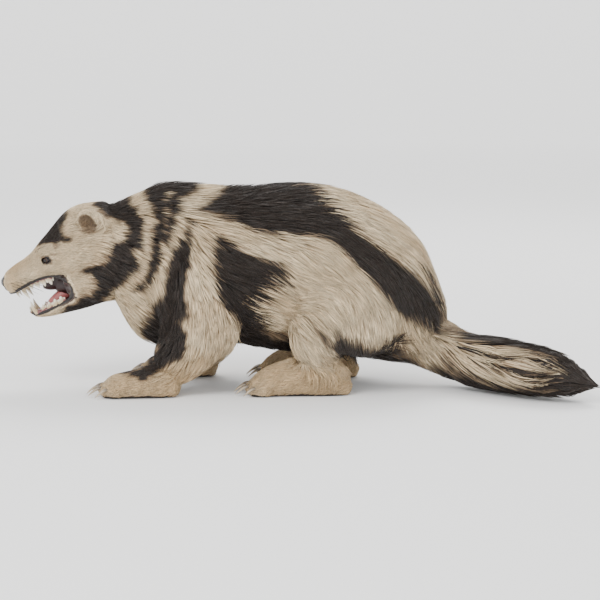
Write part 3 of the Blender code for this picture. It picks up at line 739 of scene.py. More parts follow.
def toe_places(end: Section) -> list[ToePlace]:
    """The five toes in front of a paw's first section.

    Args:
        end: the paw's first section.

    Returns:
        The places, from one side of the paw to the other.
    """
    made = []
    for across, back, splay in TOES:
        angle = math.radians(splay)
        ahead = Vector((-math.cos(angle), math.sin(angle), 0))
        middle = Vector((end.x + TOE_BACK + back, end.y + across, TOE_HEIGHT))
        made.append(ToePlace(middle, ahead, Matrix.Rotation(-angle, 3, "Z")))
    return made


# The lips' edges from the middle of the front to the corner of the mouth, in the head's axes
UPPER_LIP = (
    (0.0065, 0.0000, -0.0205), (0.0100, 0.0095, -0.0225), (0.0160, 0.0165, -0.0232),
    (0.0240, 0.0222, -0.0222), (0.0360, 0.0262, -0.0205), (0.0520, 0.0288, -0.0180),
    (0.0700, 0.0325, -0.0174), (0.0840, 0.0358, -0.0192), (0.0965, 0.0415, -0.0240),
    (0.1065, 0.0475, -0.0345), (0.1125, 0.0520, -0.0480),
)
LOWER_LIP = (
    (0.0275, 0.0000, -0.0648), (0.0300, 0.0085, -0.0662), (0.0370, 0.0162, -0.0690),
    (0.0540, 0.0228, -0.0702), (0.0740, 0.0262, -0.0685), (0.0920, 0.0330, -0.0662),
    (0.1040, 0.0430, -0.0622), (0.1105, 0.0495, -0.0560), (0.1125, 0.0520, -0.0480),
)

# How far behind a lip's edge the inside of the mouth begins
LIP_EDGE = 0.0012

# The hollow that opens the corner of the lips on each side
MOUTH_CUT, MOUTH_CUT_RADII = (0.0885, 0.064, -0.0462), (0.0243, 0.034, 0.0178)


def lip_path(rows: Sequence[Sequence[float]], side: Side, count: int = 40) -> list[Vector]:
    """A lip's edge on one side, in the animal's axes."""
    return smooth_path([head_point(*mirrored(place, side)) for place in rows], count)


def mouth_heights(back: Array) -> tuple[Array, Array]:
    """The heights of the upper and lower lips at places back from the nose tip."""
    upper, lower = np.array(UPPER_LIP), np.array(LOWER_LIP)
    return np.interp(back, upper[:, 0], upper[:, 2]), np.interp(back, lower[:, 0], lower[:, 2])


@dataclass
class HeadShape:
    """The head's skin: skull, jaw, cheeks, brows, whisker pads, lips, folds, lids and the mouth's hollow."""

    voxel: float = 0.0018
    cheek: Row = (0.139, 0.036, -0.046)
    cheek_radii: Row = (0.0397, 0.0247, 0.0387)
    brow: Row = (0.099, 0.036, 0.0230)
    brow_radii: Row = (0.020, 0.0105, 0.0095)
    brow_turn: float = 14.0
    brow_fold: tuple[Row, ...] = (
        (0.0800, 0.0420, 0.0110), (0.0870, 0.0475, 0.0166),
        (0.0960, 0.0510, 0.0172), (0.1070, 0.0540, 0.0130),
    )
    pad: Row = (0.023, 0.015, -0.013)
    pad_radii: Row = (0.0175, 0.0105, 0.0115)
    pad_turn: float = 12.0
    upper_lip: float = 0.0023
    lower_lip: float = 0.0022
    lid: float = 0.0019
    slant: float = 15.0
    slit_radii: Row = (0.0085, 0.0078, 0.0051)
    socket_gap: float = 0.0002
    fold_radius: float = 0.0016
    fold_bulge: Row = (0.0015, 0.002, 0.001)
    brow_fold_radius: float = 0.0023
    # middle and radii of the lumps inside the mouth, which close its back and carry painted shade there, and
    # of the hollows cut into it
    throat: tuple[Row, Row] = ((0.1140, 0, -0.0400), (0.0370, 0.0260, 0.0270))
    soft_palate: tuple[Row, Row] = ((0.0900, 0, -0.0290), (0.0320, 0.0190, 0.0175))
    hollows: tuple[tuple[Row, Row], ...] = (
        ((0.042, 0, -0.0275), (0.027, 0.0165, 0.0125)),
        ((0.080, 0, -0.0600), (0.040, 0.0150, 0.0110)),
        ((0.104, 0, -0.0465), (0.032, 0.0130, 0.0090)),
    )
    # front end and back end of each fold that the snarl raises beside the nose
    folds: tuple[tuple[Row, Row], ...] = (
        ((0.030, 0.0180, 0.0100), (0.040, 0.0285, -0.0020)),
        ((0.040, 0.0175, 0.0130), (0.052, 0.0300, 0.0010)),
        ((0.051, 0.0180, 0.0155), (0.064, 0.0325, 0.0035)),
    )

    def lumps(self) -> list[Thing]:
        """What is laid over the lofts of the skull and jaw, on both sides.

        Returns:
            The lumps as closed objects.
        """
        made = []
        for side in Side:
            s = side.value
            made.append(head_ellipsoid(mirrored(self.cheek, side), self.cheek_radii))
            made.append(head_ellipsoid(mirrored(self.brow, side), self.brow_radii, s * self.brow_turn))
            made.append(head_ellipsoid(mirrored(self.pad, side), self.pad_radii, s * self.pad_turn))
            made.append(head_ellipsoid(mirrored(EYE_AT, side), [EYE_RADIUS + self.lid] * 3))
            for rows, thick in ((UPPER_LIP, self.upper_lip), (LOWER_LIP, self.lower_lip)):
                path = lip_path(rows, side)
                made.append(rod(path, [thick] * len(path), 10))
            for ends in self.folds:
                start, end = (head_point(*mirrored(place, side)) for place in ends)
                raised = (start + end) / 2 + head_point(*mirrored(self.fold_bulge, side))
                made.append(self.ridge([start, raised - head_point(0, 0, 0), end], self.fold_radius))
            brow_fold = [head_point(*mirrored(place, side)) for place in self.brow_fold]
            made.append(self.ridge(brow_fold, self.brow_fold_radius))
        made += [head_ellipsoid(middle, radii) for middle, radii in (self.throat, self.soft_palate)]
        return made

    def ridge(self, points: Sequence[Vector], radius: float) -> Thing:
        """A raised fold of skin that fades at both ends.

        Args:
            points: places along the fold.
            radius: its radius in the middle.

        Returns:
            The fold.
        """
        count = 14
        radii = [radius * math.sin(math.pi * (0.08 + 0.84 * i / (count - 1))) ** 0.6 for i in range(count)]
        return rod(smooth_path(points, count), radii, 8)

    def hollow_mouth(self, head: Thing) -> None:
        """Vaults the palate, sinks the bed of the tongue, and opens the throat and the lips' corners.

        Args:
            head: the head's surface, which is changed in place.
        """
        cuts = [head_ellipsoid(middle, radii) for middle, radii in self.hollows]
        cuts += [head_ellipsoid(mirrored(MOUTH_CUT, side), MOUTH_CUT_RADII, 0, 48) for side in Side]
        for cut in cuts:
            boolean(head, cut, "DIFFERENCE")

    def open_lids(self, head: Thing) -> None:
        """Opens the lids in an almond shape and hollows a socket that clears each eyeball.

        Args:
            head: the head's surface, which is changed in place.
        """
        for side in Side:
            centre, turn = eye_frame(side)
            outward = centre + turn @ Vector((0, side.value * EYE_RADIUS, 0.0003))
            slit = turn @ Matrix.Rotation(math.radians(self.slant), 3, "Y")
            boolean(head, ellipsoid(outward, self.slit_radii, slit, 40), "DIFFERENCE")
            boolean(head, ellipsoid(centre, [EYE_RADIUS + self.socket_gap] * 3, turn, 48), "DIFFERENCE")

    def build(self, tubes: Sequence[Tube]) -> Thing:
        """The head as one closed surface.

        Args:
            tubes: the parts of the body.

        Returns:
            The head.
        """
        lofts = [tube.loft(48, 8) for tube in tubes if tube.zone in (Zone.HEAD, Zone.JAW)]
        head = blended([*lofts, *self.lumps()], self.voxel, 3)
        self.hollow_mouth(head)
        self.open_lids(head)
        return head


EAR_HOLLOW, EAR_HOLLOW_RADII = (-0.003, 0.0085, 0.003), (0.0165, 0.0120, 0.0180)


def ear_frame(side: Side) -> tuple[Vector, Matrix]:
    """The middle of an ear and how it is turned.

    Args:
        side: the side of the animal.

    Returns:
        The middle, and the matrix of the ear's own axes.
    """
    s = side.value
    turn = head_matrix().to_3x3() @ Matrix.Rotation(math.radians(-s * 24), 3, "X")
    return head_point(0.184, s * 0.063, 0.038), turn @ Matrix.Rotation(math.radians(s * 28), 3, "Z")


def ear_places(points: Array) -> Array:
    """Points in the axes of the ear on their own side: back, outwards, up.

    Args:
        points: places in the animal's own axes, a row each.

    Returns:
        The points in the ears' own axes.
    """
    own = np.empty_like(points)
    for side in Side:
        here = points[:, 1] * side.value >= 0
        centre, turn = ear_frame(side)
        own[here] = (points[here] - np.array(tuple(centre))) @ np.array(turn) * (1, side.value, 1)
    return own


def in_ear_hollow(points: Array) -> Array:
    """How far inside the hollow of an ear each point is, from 0 to 1."""
    reach = np.linalg.norm((ear_places(points) - EAR_HOLLOW) / EAR_HOLLOW_RADII, axis=1)
    return smoothstep(1.14, 0.90, reach)


def ear_cup(side: Side) -> Thing:
    """A short rounded ear laid back against the head, hollowed on its outer face.

    Args:
        side: the side of the animal.

    Returns:
        The ear.
    """
    centre, turn = ear_frame(side)
    cup = ellipsoid(centre, (0.0225, 0.0080, 0.0240), turn, 40)
    hollow_at = centre + turn @ Vector(mirrored(EAR_HOLLOW, side))
    return boolean(cup, ellipsoid(hollow_at, EAR_HOLLOW_RADII, turn, 40), "DIFFERENCE")


@dataclass(frozen=True)
class Outline:
    """A dark patch of the coat, as its outline seen square from the flank: x and z in millimetres."""

    name: str
    points: tuple[tuple[float, float], ...]
    wider: float = 0.0

    def depth(self, x: Array, z: Array) -> Array:
        """How far inside the outline each place is, below 0 outside it.

        Args:
            x: the places' x.
            z: the places' z.

        Returns:
            The depth at each place.
        """
        corners = np.array(self.points) / 1000
        nearest, inside = np.full(len(x), 1e9), np.zeros(len(x), bool)
        for (ax, az), (bx, bz) in zip(corners, np.roll(corners, -1, axis=0)):
            dx, dz = bx - ax, bz - az
            t = np.clip(((x - ax) * dx + (z - az) * dz) / (dx * dx + dz * dz), 0, 1)
            nearest = np.minimum(nearest, np.hypot(x - ax - t * dx, z - az - t * dz))
            crosses = (az > z) != (bz > z)
            inside ^= crosses & (x < ax + dx * (z - az) / (dz if abs(dz) > 1e-9 else 1e-9))
        return np.where(inside, nearest, -nearest) + self.wider / 1000


PATCHES = (
    # dark ring round the eye, with a line back along its top: painted shadow under the brow fold
    Outline("eye", (
        (-424.4, 213.1), (-421.7, 216.3), (-413.2, 219), (-400.3, 218), (-401, 215.8), (-409.6, 214.7),
        (-406.4, 208.8), (-409.4, 204.6), (-417.7, 202.5), (-422.6, 204.1), (-422.8, 208.8),
    )),
    Outline("forehead", (
        (-382, 284), (-392, 260), (-391, 251), (-388, 246), (-376, 246), (-373, 241), (-378, 238),
        (-391, 237), (-398, 232), (-409, 233), (-422, 235), (-431, 232), (-434, 241), (-420, 255),
        (-407, 278), (-390, 300),
    )),
    Outline("collar", (
        (-336, 301), (-339, 314), (-277, 314), (-277, 304), (-266, 291), (-259, 278), (-251, 271),
        (-258, 251), (-258, 237), (-255, 218), (-270, 227), (-271, 213), (-262, 199), (-262, 192),
        (-270, 190), (-277, 180), (-283, 169), (-298, 164), (-310, 154), (-315, 144), (-333, 130),
        (-357, 118), (-392, 108), (-393, 120), (-388, 130), (-375, 135), (-363, 144), (-343, 152),
        (-336, 164), (-336, 174), (-346, 185), (-359, 187), (-365, 190), (-352, 197), (-326, 202),
        (-316, 213), (-307, 233), (-286, 245), (-281, 258), (-292, 270), (-318, 280), (-326, 286),
    )),
    # painted shadow: a dark curved band down the neck for the gap where the ruff parts in a fold
    Outline("stripe", (
        (-257, 324), (-252, 314), (-244, 302), (-238, 286), (-236, 270), (-240, 240), (-243, 215),
        (-245, 197), (-254, 175), (-274, 157), (-259, 157), (-242, 177), (-232, 200), (-227, 243),
        (-223, 260), (-221, 296), (-216, 314), (-213, 330), (-229, 350), (-262, 345),
    ), 2.4),
    Outline("wedge", (
        (-213, 319), (-218, 299), (-220, 266), (-224, 230), (-215, 232), (-207, 255), (-200, 281),
        (-187, 309), (-169, 321), (-165, 327), (-150, 350), (-196, 360), (-230, 350),
    )),
    Outline("shoulder", (
        (-171, 273), (-179, 273), (-187, 263), (-196, 243), (-210, 217), (-217, 197), (-221, 169),
        (-228, 150), (-241, 135), (-253, 112), (-265, 89), (-248, 70), (-235, 62), (-269, 28), (-297, 21),
        (-261, 6), (-219, 33), (-194, 43), (-187, 70), (-189, 87), (-202, 109), (-187, 107), (-182, 112),
        (-185, 132), (-191, 150), (-186, 190), (-179, 190), (-181, 205), (-176, 238), (-177, 260),
    )),
    # its upper edge drops below the spine over the rump, leaving the rump's top pale as a painted highlight
    Outline("saddle", (
        (-129, 321), (-166, 291), (-159, 286), (-139, 284), (-94, 263), (-62, 251), (-36, 248), (0, 251),
        (35, 246), (64, 228), (90, 202), (115, 177), (132, 155), (147, 139), (164, 120), (187, 102),
        (215, 89), (228, 85), (238, 95), (236, 119), (214, 190), (203, 190), (209, 170), (213, 150),
        (193, 182), (190, 177), (151, 212), (123, 228), (110, 245), (90, 260), (64, 289), (49, 309),
        (33, 321), (3, 350), (-65, 360), (-106, 350),
    )),
    Outline("flank", (
        (-131, 251), (-140, 243), (-141, 212), (-138, 172), (-130, 142), (-143, 144), (-119, 114),
        (-102, 95), (-99, 72), (-58, 60), (-35, 48), (-20, 55), (-26, 67), (-48, 85), (-53, 104), (-56, 135),
        (-48, 135), (-46, 154), (-36, 164), (-26, 154), (-25, 172), (-11, 162), (-18, 179), (-11, 180),
        (-21, 192), (-46, 205), (-71, 213), (-94, 225), (-113, 238), (-120, 248),
    )),
    Outline("haunch", (
        (20, 102), (40, 82), (55, 70), (66, 87), (88, 72), (111, 63), (152, 52), (184, 42), (206, 30),
        (189, 1), (156, 1), (123, 1), (98, 11), (81, 32), (60, 53), (40, 70),
    )),
)


@dataclass(frozen=True)
class Markings:
    """Where the coat is dark: patches outlined on the flank, the tail's streaks and tip, and the belly."""

    view_from: tuple[float, float, float] = (0.0, -3.169, 0.587)
    edge: float = 0.0035
    ear_shade: float = 0.62
    tail_from: float = 0.214

    def flank(self, points: Array) -> tuple[Array, Array]:
        """Where the points are seen on the middle plane from the left, or from the right by their mirror.

        Args:
            points: places in the animal's own axes, a row each.

        Returns:
            The x and z at which each point is seen.
        """
        ex, ey, ez = self.view_from
        x, y, z = points.T
        t = -ey / (-np.abs(y) - ey)
        return ex + (x - ex) * t, ez + (z - ez) * t

    def tail_place(self, points: Array, tail: Tube) -> tuple[Array, Array]:
        """How far along the tail each point is, from 0 to 1, and its angle round it, 0 at the top.

        Args:
            points: places in the animal's own axes, a row each.
            tail: the tail's tube.

        Returns:
            The places along the tail and the angles in radians.
        """
        count = 60
        sections = [tail.at(i / (count - 1)) for i in range(count)]
        middles = np.array([(s.x, s.y, s.z) for s in sections])
        gaps = np.linalg.norm(points[:, None, :] - middles[None], axis=2)
        index = gaps.argmin(axis=1)
        sideways = np.array([tuple(s.axes()[1]) for s in sections])[index]
        upward = np.array([tuple(s.axes()[2]) for s in sections])[index]
        off = points - middles[index]
        return index / (count - 1), np.arctan2((off * sideways).sum(1), (off * upward).sum(1))

    def darkness(self, points: Array, normals: Array, tail: Tube) -> Array:
        """How dark the coat is at each point, from 0 to 1.

        Args:
            points: places in the animal's own axes, a row each.
            normals: the skin's normals at the points.
            tail: the tail's tube.

        Returns:
            The darkness at each point.
        """
        x, z = self.flank(points)
        jag = 0.0022 * waves(points, 0.006, 5) + 0.0016 * waves(points, 0.014, 6)
        deepest = np.full(len(points), -1.0)
        for patch in PATCHES:
            deepest = np.maximum(deepest, patch.depth(x, z))
        dark = smoothstep(-self.edge, self.edge, deepest + jag)
        belly = smoothstep(-0.55, -0.80, normals[:, 2]) * smoothstep(-0.24, -0.20, points[:, 0])
        belly *= smoothstep(0.20, 0.17, points[:, 0]) * smoothstep(0.05, 0.06, points[:, 2])
        # the ears' hollows are darkened, partly their own dark hair and partly painted shade in the hollow
        dark = np.maximum.reduce([dark, belly, self.ear_shade * in_ear_hollow(points)])
        on_tail = points[:, 0] > self.tail_from
        if on_tail.any():
            body = dark[on_tail] * smoothstep(0.250, 0.225, points[on_tail, 0])
            dark[on_tail] = np.maximum(body, self.tail_dark(points[on_tail], tail))
        return dark

    def tail_dark(self, points: Array, tail: Tube) -> Array:
        """The tail's dark top and underside, its streaks, and its dark end.

        Args:
            points: places in the animal's own axes, a row each.
            tail: the tail's tube.

        Returns:
            The darkness at each point.
        """
        along, round_angle = self.tail_place(points, tail)
        beyond = points[:, 0] + 0.4 * (0.02 - points[:, 1])
        streak = np.sin(round_angle * 11 + 3 * np.sin(along * 5) + 1.3) * 0.5
        streak += 0.55 * np.sin(round_angle * 23 + 7 * np.sin(along * 3 + 1)) + 0.45 * waves(points, 0.03, 9)
        streaks = smoothstep(0.55, 0.85, streak + 1.1 * smoothstep(0.1, 0.95, along) - 0.35)
        top = smoothstep(0.75, 0.45, np.abs(round_angle)) * smoothstep(0.22, 0.36, along)
        under = smoothstep(2.0, 2.3, np.abs(round_angle)) * smoothstep(0.10, 0.30, along)
        end = smoothstep(0.452, 0.480, beyond + 0.012 * waves(points, 0.02, 12))
        return np.maximum.reduce([streaks * smoothstep(0.05, 0.2, along), top, under, end])


@dataclass(frozen=True)
class Tints:
    """The coat's colours, as linear red, green and blue."""

    dark_root: Row = (0.0080, 0.0048, 0.0032)
    dark_tip: Row = (0.0240, 0.0145, 0.0090)
    pale_root: Row = (0.360, 0.235, 0.125)
    pale_tip: Row = (0.800, 0.670, 0.460)
    tan_tip: Row = (0.580, 0.420, 0.235)
    fringe: Row = (0.200, 0.115, 0.060)
    lip: Row = (0.014, 0.010, 0.009)
    mouth: Row = (0.200, 0.060, 0.055)
    # throat: painted shade, the near-black that darkens the mouth towards the throat
    throat: Row = (0.022, 0.008, 0.008)
    sole: Row = (0.035, 0.025, 0.020)

    def pelt(self, dark: Array, tan: Array, along: float, bright: Array) -> Array:
        """The colour of hair.

        Args:
            dark: how dark the marking is, from 0 to 1.
            tan: how brown the pale hair is, from 0 to 1.
            along: the place from the root, 0, to the tip, 1.
            bright: a factor on the brightness of each hair.

        Returns:
            Red, green and blue for each hair.
        """
        d, t = dark[:, None], tan[:, None]
        pale_tip = np.array(self.pale_tip) * (1 - t) + np.array(self.tan_tip) * t
        rise = along**0.7
        pale = np.array(self.pale_root) * (1 - rise) + pale_tip * rise
        black = np.array(self.dark_root) * (1 - along) + np.array(self.dark_tip) * along
        hair = pale * (1 - d) + black * d
        between = (4 * d * (1 - d)) ** 2 * 0.6
        hair = hair * (1 - between) + np.array(self.fringe) * between
        return np.clip(hair * bright[:, None], 0, 1)


def painted(mesh: bpy.types.Mesh, colours: Array) -> None:
    """Gives each point of the mesh its colour.

    Args:
        mesh: the mesh that takes the colours.
        colours: a row of red, green and blue for each of its points.
    """
    layer = mesh.color_attributes.new("pelt", "FLOAT_COLOR", "POINT")
    rows = np.column_stack([colours, np.ones(len(colours))])
    layer.data.foreach_set("color", rows.astype(np.float32).ravel())


def mixed(start: Sequence[float], end: Sequence[float], share: Array) -> Array:
    """Colours between two, one for each share."""
    return np.array(start) * (1 - share[:, None]) + np.array(end) * share[:, None]


@dataclass
class Skin:
    """The skin under the coat: one closed surface over the head, body, legs, feet and tail."""

    anatomy: Anatomy
    markings: Markings
    tints: Tints
    body_voxel: float = 0.0050
    paw_voxel: float = 0.0025
    floor_gap: float = 0.0005
    lie_rounds: int = 26
    growth_rounds: int = 14
    blunt_from: float = 0.985
    lip_rim: float = 0.0034
    eye_rim: float = 0.0024
    sole_below: float = 0.0055
    nose_back: float = 0.0100
    nose_low: float = -0.0190
    nose_half: float = 0.0135
    toe_radii: Row = (0.0155, 0.0086, 0.0103)

    def build(self) -> None:
        """Builds the surface, reads it into arrays, and lays out the coat's fields on it."""
        tubes = self.anatomy.tubes()
        self.tail = next(t for t in tubes if t.zone is Zone.TAIL)
        body_zones = (Zone.TRUNK, Zone.NECK, Zone.TAIL, Zone.ARM, Zone.THIGH)
        body = blended([t.loft() for t in tubes if t.zone in body_zones], self.body_voxel, 12)
        pieces = [HeadShape().build(tubes), ear_cup(Side.LEFT), ear_cup(Side.RIGHT)]
        pieces += [self.paw(t) for t in tubes if t.zone in (Zone.HAND, Zone.FOOT)]
        for piece in pieces:
            boolean(body, piece, "UNION")
        self.rest_on_floor(body)
        self.keep_largest(body)
        self.obj = named(body, "skin")
        self.unwrap()
        self.read()
        self.lay_fields(tubes)

    def paw(self, tube: Tube) -> Thing:
        """A broad paw with five toes.

        Args:
            tube: the paw's tube.

        Returns:
            The paw as one closed surface.
        """
        toes = []
        for place in toe_places(tube.sections[0]):
            toes.append(ellipsoid(place.middle, self.toe_radii, place.turn))
        return blended([tube.loft(), *toes], self.paw_voxel, 3)

    def rest_on_floor(self, body: Thing) -> None:
        """Flattens whatever is below the floor.

        Args:
            body: the surface, which is changed in place.
        """
        places = read(body.data.vertices, "co", 3)
        places[:, 2] = np.maximum(places[:, 2], self.floor_gap)
        body.data.vertices.foreach_set("co", places.ravel())

    def keep_largest(self, body: Thing) -> None:
        """Drops every loose scrap of the surface but the largest.

        Args:
            body: the surface, which is changed in place.
        """
        work = bmesh.new()
        work.from_mesh(body.data)
        bmesh.ops.triangulate(work, faces=[f for f in work.faces if len(f.verts) > 4])
        unseen, best = set(work.verts), []
        while unseen:
            front = [unseen.pop()]
            group = list(front)
            while front:
                for edge in front.pop().link_edges:
                    for other in edge.verts:
                        if other in unseen:
                            unseen.remove(other)
                            front.append(other)
                            group.append(other)
            if len(group) > len(best):
                best = group
        keep = set(best)
        bmesh.ops.delete(work, geom=[v for v in work.verts if v not in keep], context="VERTS")
        for face in work.faces:
            face.smooth = True
        work.to_mesh(body.data)
        work.free()

    def unwrap(self) -> None:
        """Unwraps the surface by its own shape, for the coat's patches and its own."""
        bpy.ops.object.select_all(action="DESELECT")
        bpy.context.view_layer.objects.active = self.obj
        self.obj.select_set(True)
        self.obj.data.uv_layers.new(name=UNWRAP)
        bpy.ops.object.mode_set(mode="EDIT")
        bpy.ops.mesh.select_all(action="SELECT")
        bpy.ops.uv.smart_project(angle_limit=math.radians(72), island_margin=0.0015)
        bpy.ops.object.mode_set(mode="OBJECT")

    def read(self) -> None:
        """Reads the surface into arrays."""
        mesh = self.obj.data
        mesh.calc_loop_triangles()
        self.points, self.normals = read(mesh.vertices, "co", 3), read(mesh.vertices, "normal", 3)
        self.corners = read(mesh.loop_triangles, "vertices", 3, np.int32)
        self.loops = read(mesh.loop_triangles, "loops", 3, np.int32)
        self.edges = read(mesh.edges, "vertices", 2, np.int32)
        self.tree = BVHTree.FromPolygons(self.points.tolist(), self.corners.tolist())

    def spread(self, values: Array, rounds: int) -> Array:
        """Averages values at the points with their neighbours', that many times.

        Args:
            values: rows of values at the skin's points.
            rounds: how many times.

        Returns:
            The averaged rows.
        """
        a, b = self.edges.T
        ends, others = np.concatenate([a, b]), np.concatenate([b, a])
        count = len(self.points)
        degree = np.maximum(np.bincount(ends, minlength=count), 1)[:, None]
        for _ in range(rounds):
            near = np.column_stack([np.bincount(ends, column[others], count) for column in values.T])
            values = 0.4 * values + 0.6 * near / degree
        return values

    def within(self, *zones: Zone) -> Array:
        """Which points are in these zones."""
        return np.isin(self.zones, [zone.value for zone in zones])

    def lay_fields(self, tubes: Sequence[Tube]) -> None:
        """Finds each point's zone, its lie of hair and the coat's sizes there, and smooths them.

        Args:
            tubes: the parts of the body.
        """
        best = np.full(len(self.points), 1e9)
        self.zones = np.zeros(len(self.points), np.int32)
        lie = np.zeros_like(self.points)
        for tube in tubes:
            middles, headings, radii = tube.spine()
            gaps = np.linalg.norm(self.points[:, None, :] - middles[None], axis=2)
            gaps = gaps / np.maximum(radii - tube.inset, 0.004)[None]
            index = gaps.argmin(axis=1)
            gap = gaps[np.arange(len(index)), index]
            closer = gap < best
            best[closer] = gap[closer]
            self.zones[closer] = tube.zone.value
            forward = -1.0 if tube.zone in (Zone.HAND, Zone.FOOT) else 1.0
            lie[closer] = forward * headings[index[closer]]
        self.blunt = self.within(Zone.TAIL) & ((lie * self.normals).sum(1) > self.blunt_from)
        head = in_head(self.points)
        ears = (head[:, 0] > 0.158) & (np.abs(head[:, 1]) > 0.050) & (head[:, 2] > 0.028)
        ears &= np.abs(head[:, 1]) + 0.45 * head[:, 2] > 0.0745
        self.zones[ears] = Zone.EAR.value
        self.comb(lie)
        self.set_growth(head)
        self.find_bare(head)

    def comb(self, lie: Array) -> None:
        """Turns the lie to fall down the flanks and out over the head, then smooths it along the skin.

        Args:
            lie: the lie of hair along each part of the body, at the skin's points.
        """
        x, y, _ = self.points.T
        side = np.sign(y)
        flank = smoothstep(0.040, 0.100, np.abs(y))
        trunk = self.within(Zone.TRUNK)
        fall = 0.10 + 0.34 * flank + 0.40 * flank * smoothstep(-0.02, 0.06, x)
        fall += 0.40 * flank * smoothstep(-0.11, -0.17, x)
        lie[trunk, 2] -= fall[trunk]
        neck = self.within(Zone.NECK)
        lie[neck] = np.column_stack([np.ones(neck.sum()), 0.12 * side[neck], -0.36 * np.ones(neck.sum())])
        axes = np.array(head_matrix().to_3x3())
        on_head = self.within(Zone.HEAD, Zone.JAW)
        own = in_head(self.points)
        spread = np.clip(own[:, 1] / 0.05, -1, 1)
        back = np.column_stack([np.ones(len(x)), 0.30 * spread, -0.22 * np.abs(spread) - 0.03])
        lie[on_head] = (back @ axes.T)[on_head]
        ear = self.within(Zone.EAR)
        ear_lie = self.ear_lie()
        lie[ear] = ear_lie[ear]
        thigh = self.within(Zone.THIGH)
        back_and_down = np.column_stack([0.66 * np.ones(len(x)), 0.12 * side, -0.74 * np.ones(len(x))])
        lie[thigh] = 0.3 * unit(lie[thigh]) + 0.7 * back_and_down[thigh]
        paws = self.within(Zone.HAND, Zone.FOOT)
        lie[paws, 2] -= 0.35
        lie = self.spread(unit(laid(lie, self.normals)), self.lie_rounds)
        lie[ear] = 0.25 * lie[ear] + 0.75 * ear_lie[ear]
        self.lie = unit(laid(lie, self.normals))

    def ear_lie(self) -> Array:
        """The lie of hair on the ears, which fans from the root to the rim.

        Returns:
            The lie at each of the skin's points.
        """
        own = ear_places(self.points)
        fan = unit(np.column_stack([own[:, 0] + 0.014, np.zeros(len(own)), own[:, 2] + 0.022]))
        lie = np.empty_like(fan)
        for side in Side:
            here = self.points[:, 1] * side.value >= 0
            lie[here] = fan[here] @ np.array(ear_frame(side)[1]).T
        return lie

    def set_growth(self, head: Array) -> None:
        """Sets a tuft's length, width and lift, the spacing and the clumping at each point.

        Args:
            head: the skin's points in the head's own axes.
        """
        table = np.array([astuple(GROWTHS[zone]) for zone in Zone])
        growth = table[self.zones]
        face = self.within(Zone.HEAD, Zone.JAW)
        back = head[:, 0]
        stations, factors = (0.00, 0.03, 0.07, 0.10, 0.14, 0.18, 0.21), (0.4, 0.5, 0.65, 0.9, 1.3, 2.1, 3.0)
        growth[face, 0] *= np.interp(back, stations, factors)[face]
        growth[face, 1] *= np.interp(back, (0.0, 0.08, 0.20), (0.62, 0.9, 1.25))[face]
        growth[face, 2] *= np.interp(back, (0.0, 0.06, 0.12, 0.16, 0.20), (0.6, 0.8, 1.2, 2.0, 3.2))[face]
        growth[face, 3] *= np.interp(back, (0.0, 0.08, 0.20), (0.78, 0.95, 1.30))[face]
        x, _, z = self.points.T
        trunk = self.within(Zone.TRUNK)
        growth[trunk, 0] *= (1 + 0.28 * smoothstep(0.02, 0.14, x))[trunk]
        crest = smoothstep(0.35, 0.85, self.normals[:, 2]) * smoothstep(-0.12, -0.17, x)
        crest *= smoothstep(-0.355, -0.300, x) * smoothstep(0.22, 0.25, z)
        growth[:, 0] += 0.010 * crest
        growth[:, 2] += 0.0075 * crest
        under = trunk & (self.normals[:, 2] < -0.5)
        growth[under, 0] *= 0.72
        growth[under, 3] *= 1.35
        self.growth = self.spread(growth, self.growth_rounds)

    def find_bare(self, head: Array) -> None:
        """Marks the skin that carries no hair: the nose, lips, mouth, eye rims and soles.

        Args:
            head: the skin's points in the head's own axes.
        """
        self.lip_gap = self.gap_to_lips(head)
        self.mouth = self.in_mouth(head)
        # how far back in the mouth each point is, where painted shade darkens it towards the throat
        self.depth = smoothstep(0.050, 0.066, head[:, 0])
        eyes = np.array([tuple(eye_frame(side)[0]) for side in Side])
        self.eye_gap = np.linalg.norm(self.points[:, None] - eyes[None], axis=2).min(axis=1)
        back, across, height = head[:, 0], np.abs(head[:, 1]), head[:, 2]
        self.nose = (back < self.nose_back) & (height > self.nose_low) & (across < self.nose_half)
        self.sole = (self.points[:, 2] < self.sole_below) & (self.normals[:, 2] < -0.3)
        self.bare = self.blunt | self.mouth | self.nose | self.sole
        self.bare |= (self.lip_gap < self.lip_rim) | (self.eye_gap < EYE_RADIUS + self.eye_rim)

    def gap_to_lips(self, head: Array) -> Array:
        """How far each point near the mouth is from a lip's edge, and 1 for the others.

        Args:
            head: the skin's points in the head's own axes.

        Returns:
            The distances.
        """
        back, _, height = head.T
        edges = [place for rows in (UPPER_LIP, LOWER_LIP) for side in Side for place in lip_path(rows, side)]
        tree = search_tree(edges)
        near = np.flatnonzero((back > -0.01) & (back < 0.13) & (height < 0.0) & (height > -0.095))
        gaps = np.full(len(back), 1.0)
        gaps[near] = [tree.find(place)[2] for place in self.points[near].tolist()]
        return gaps

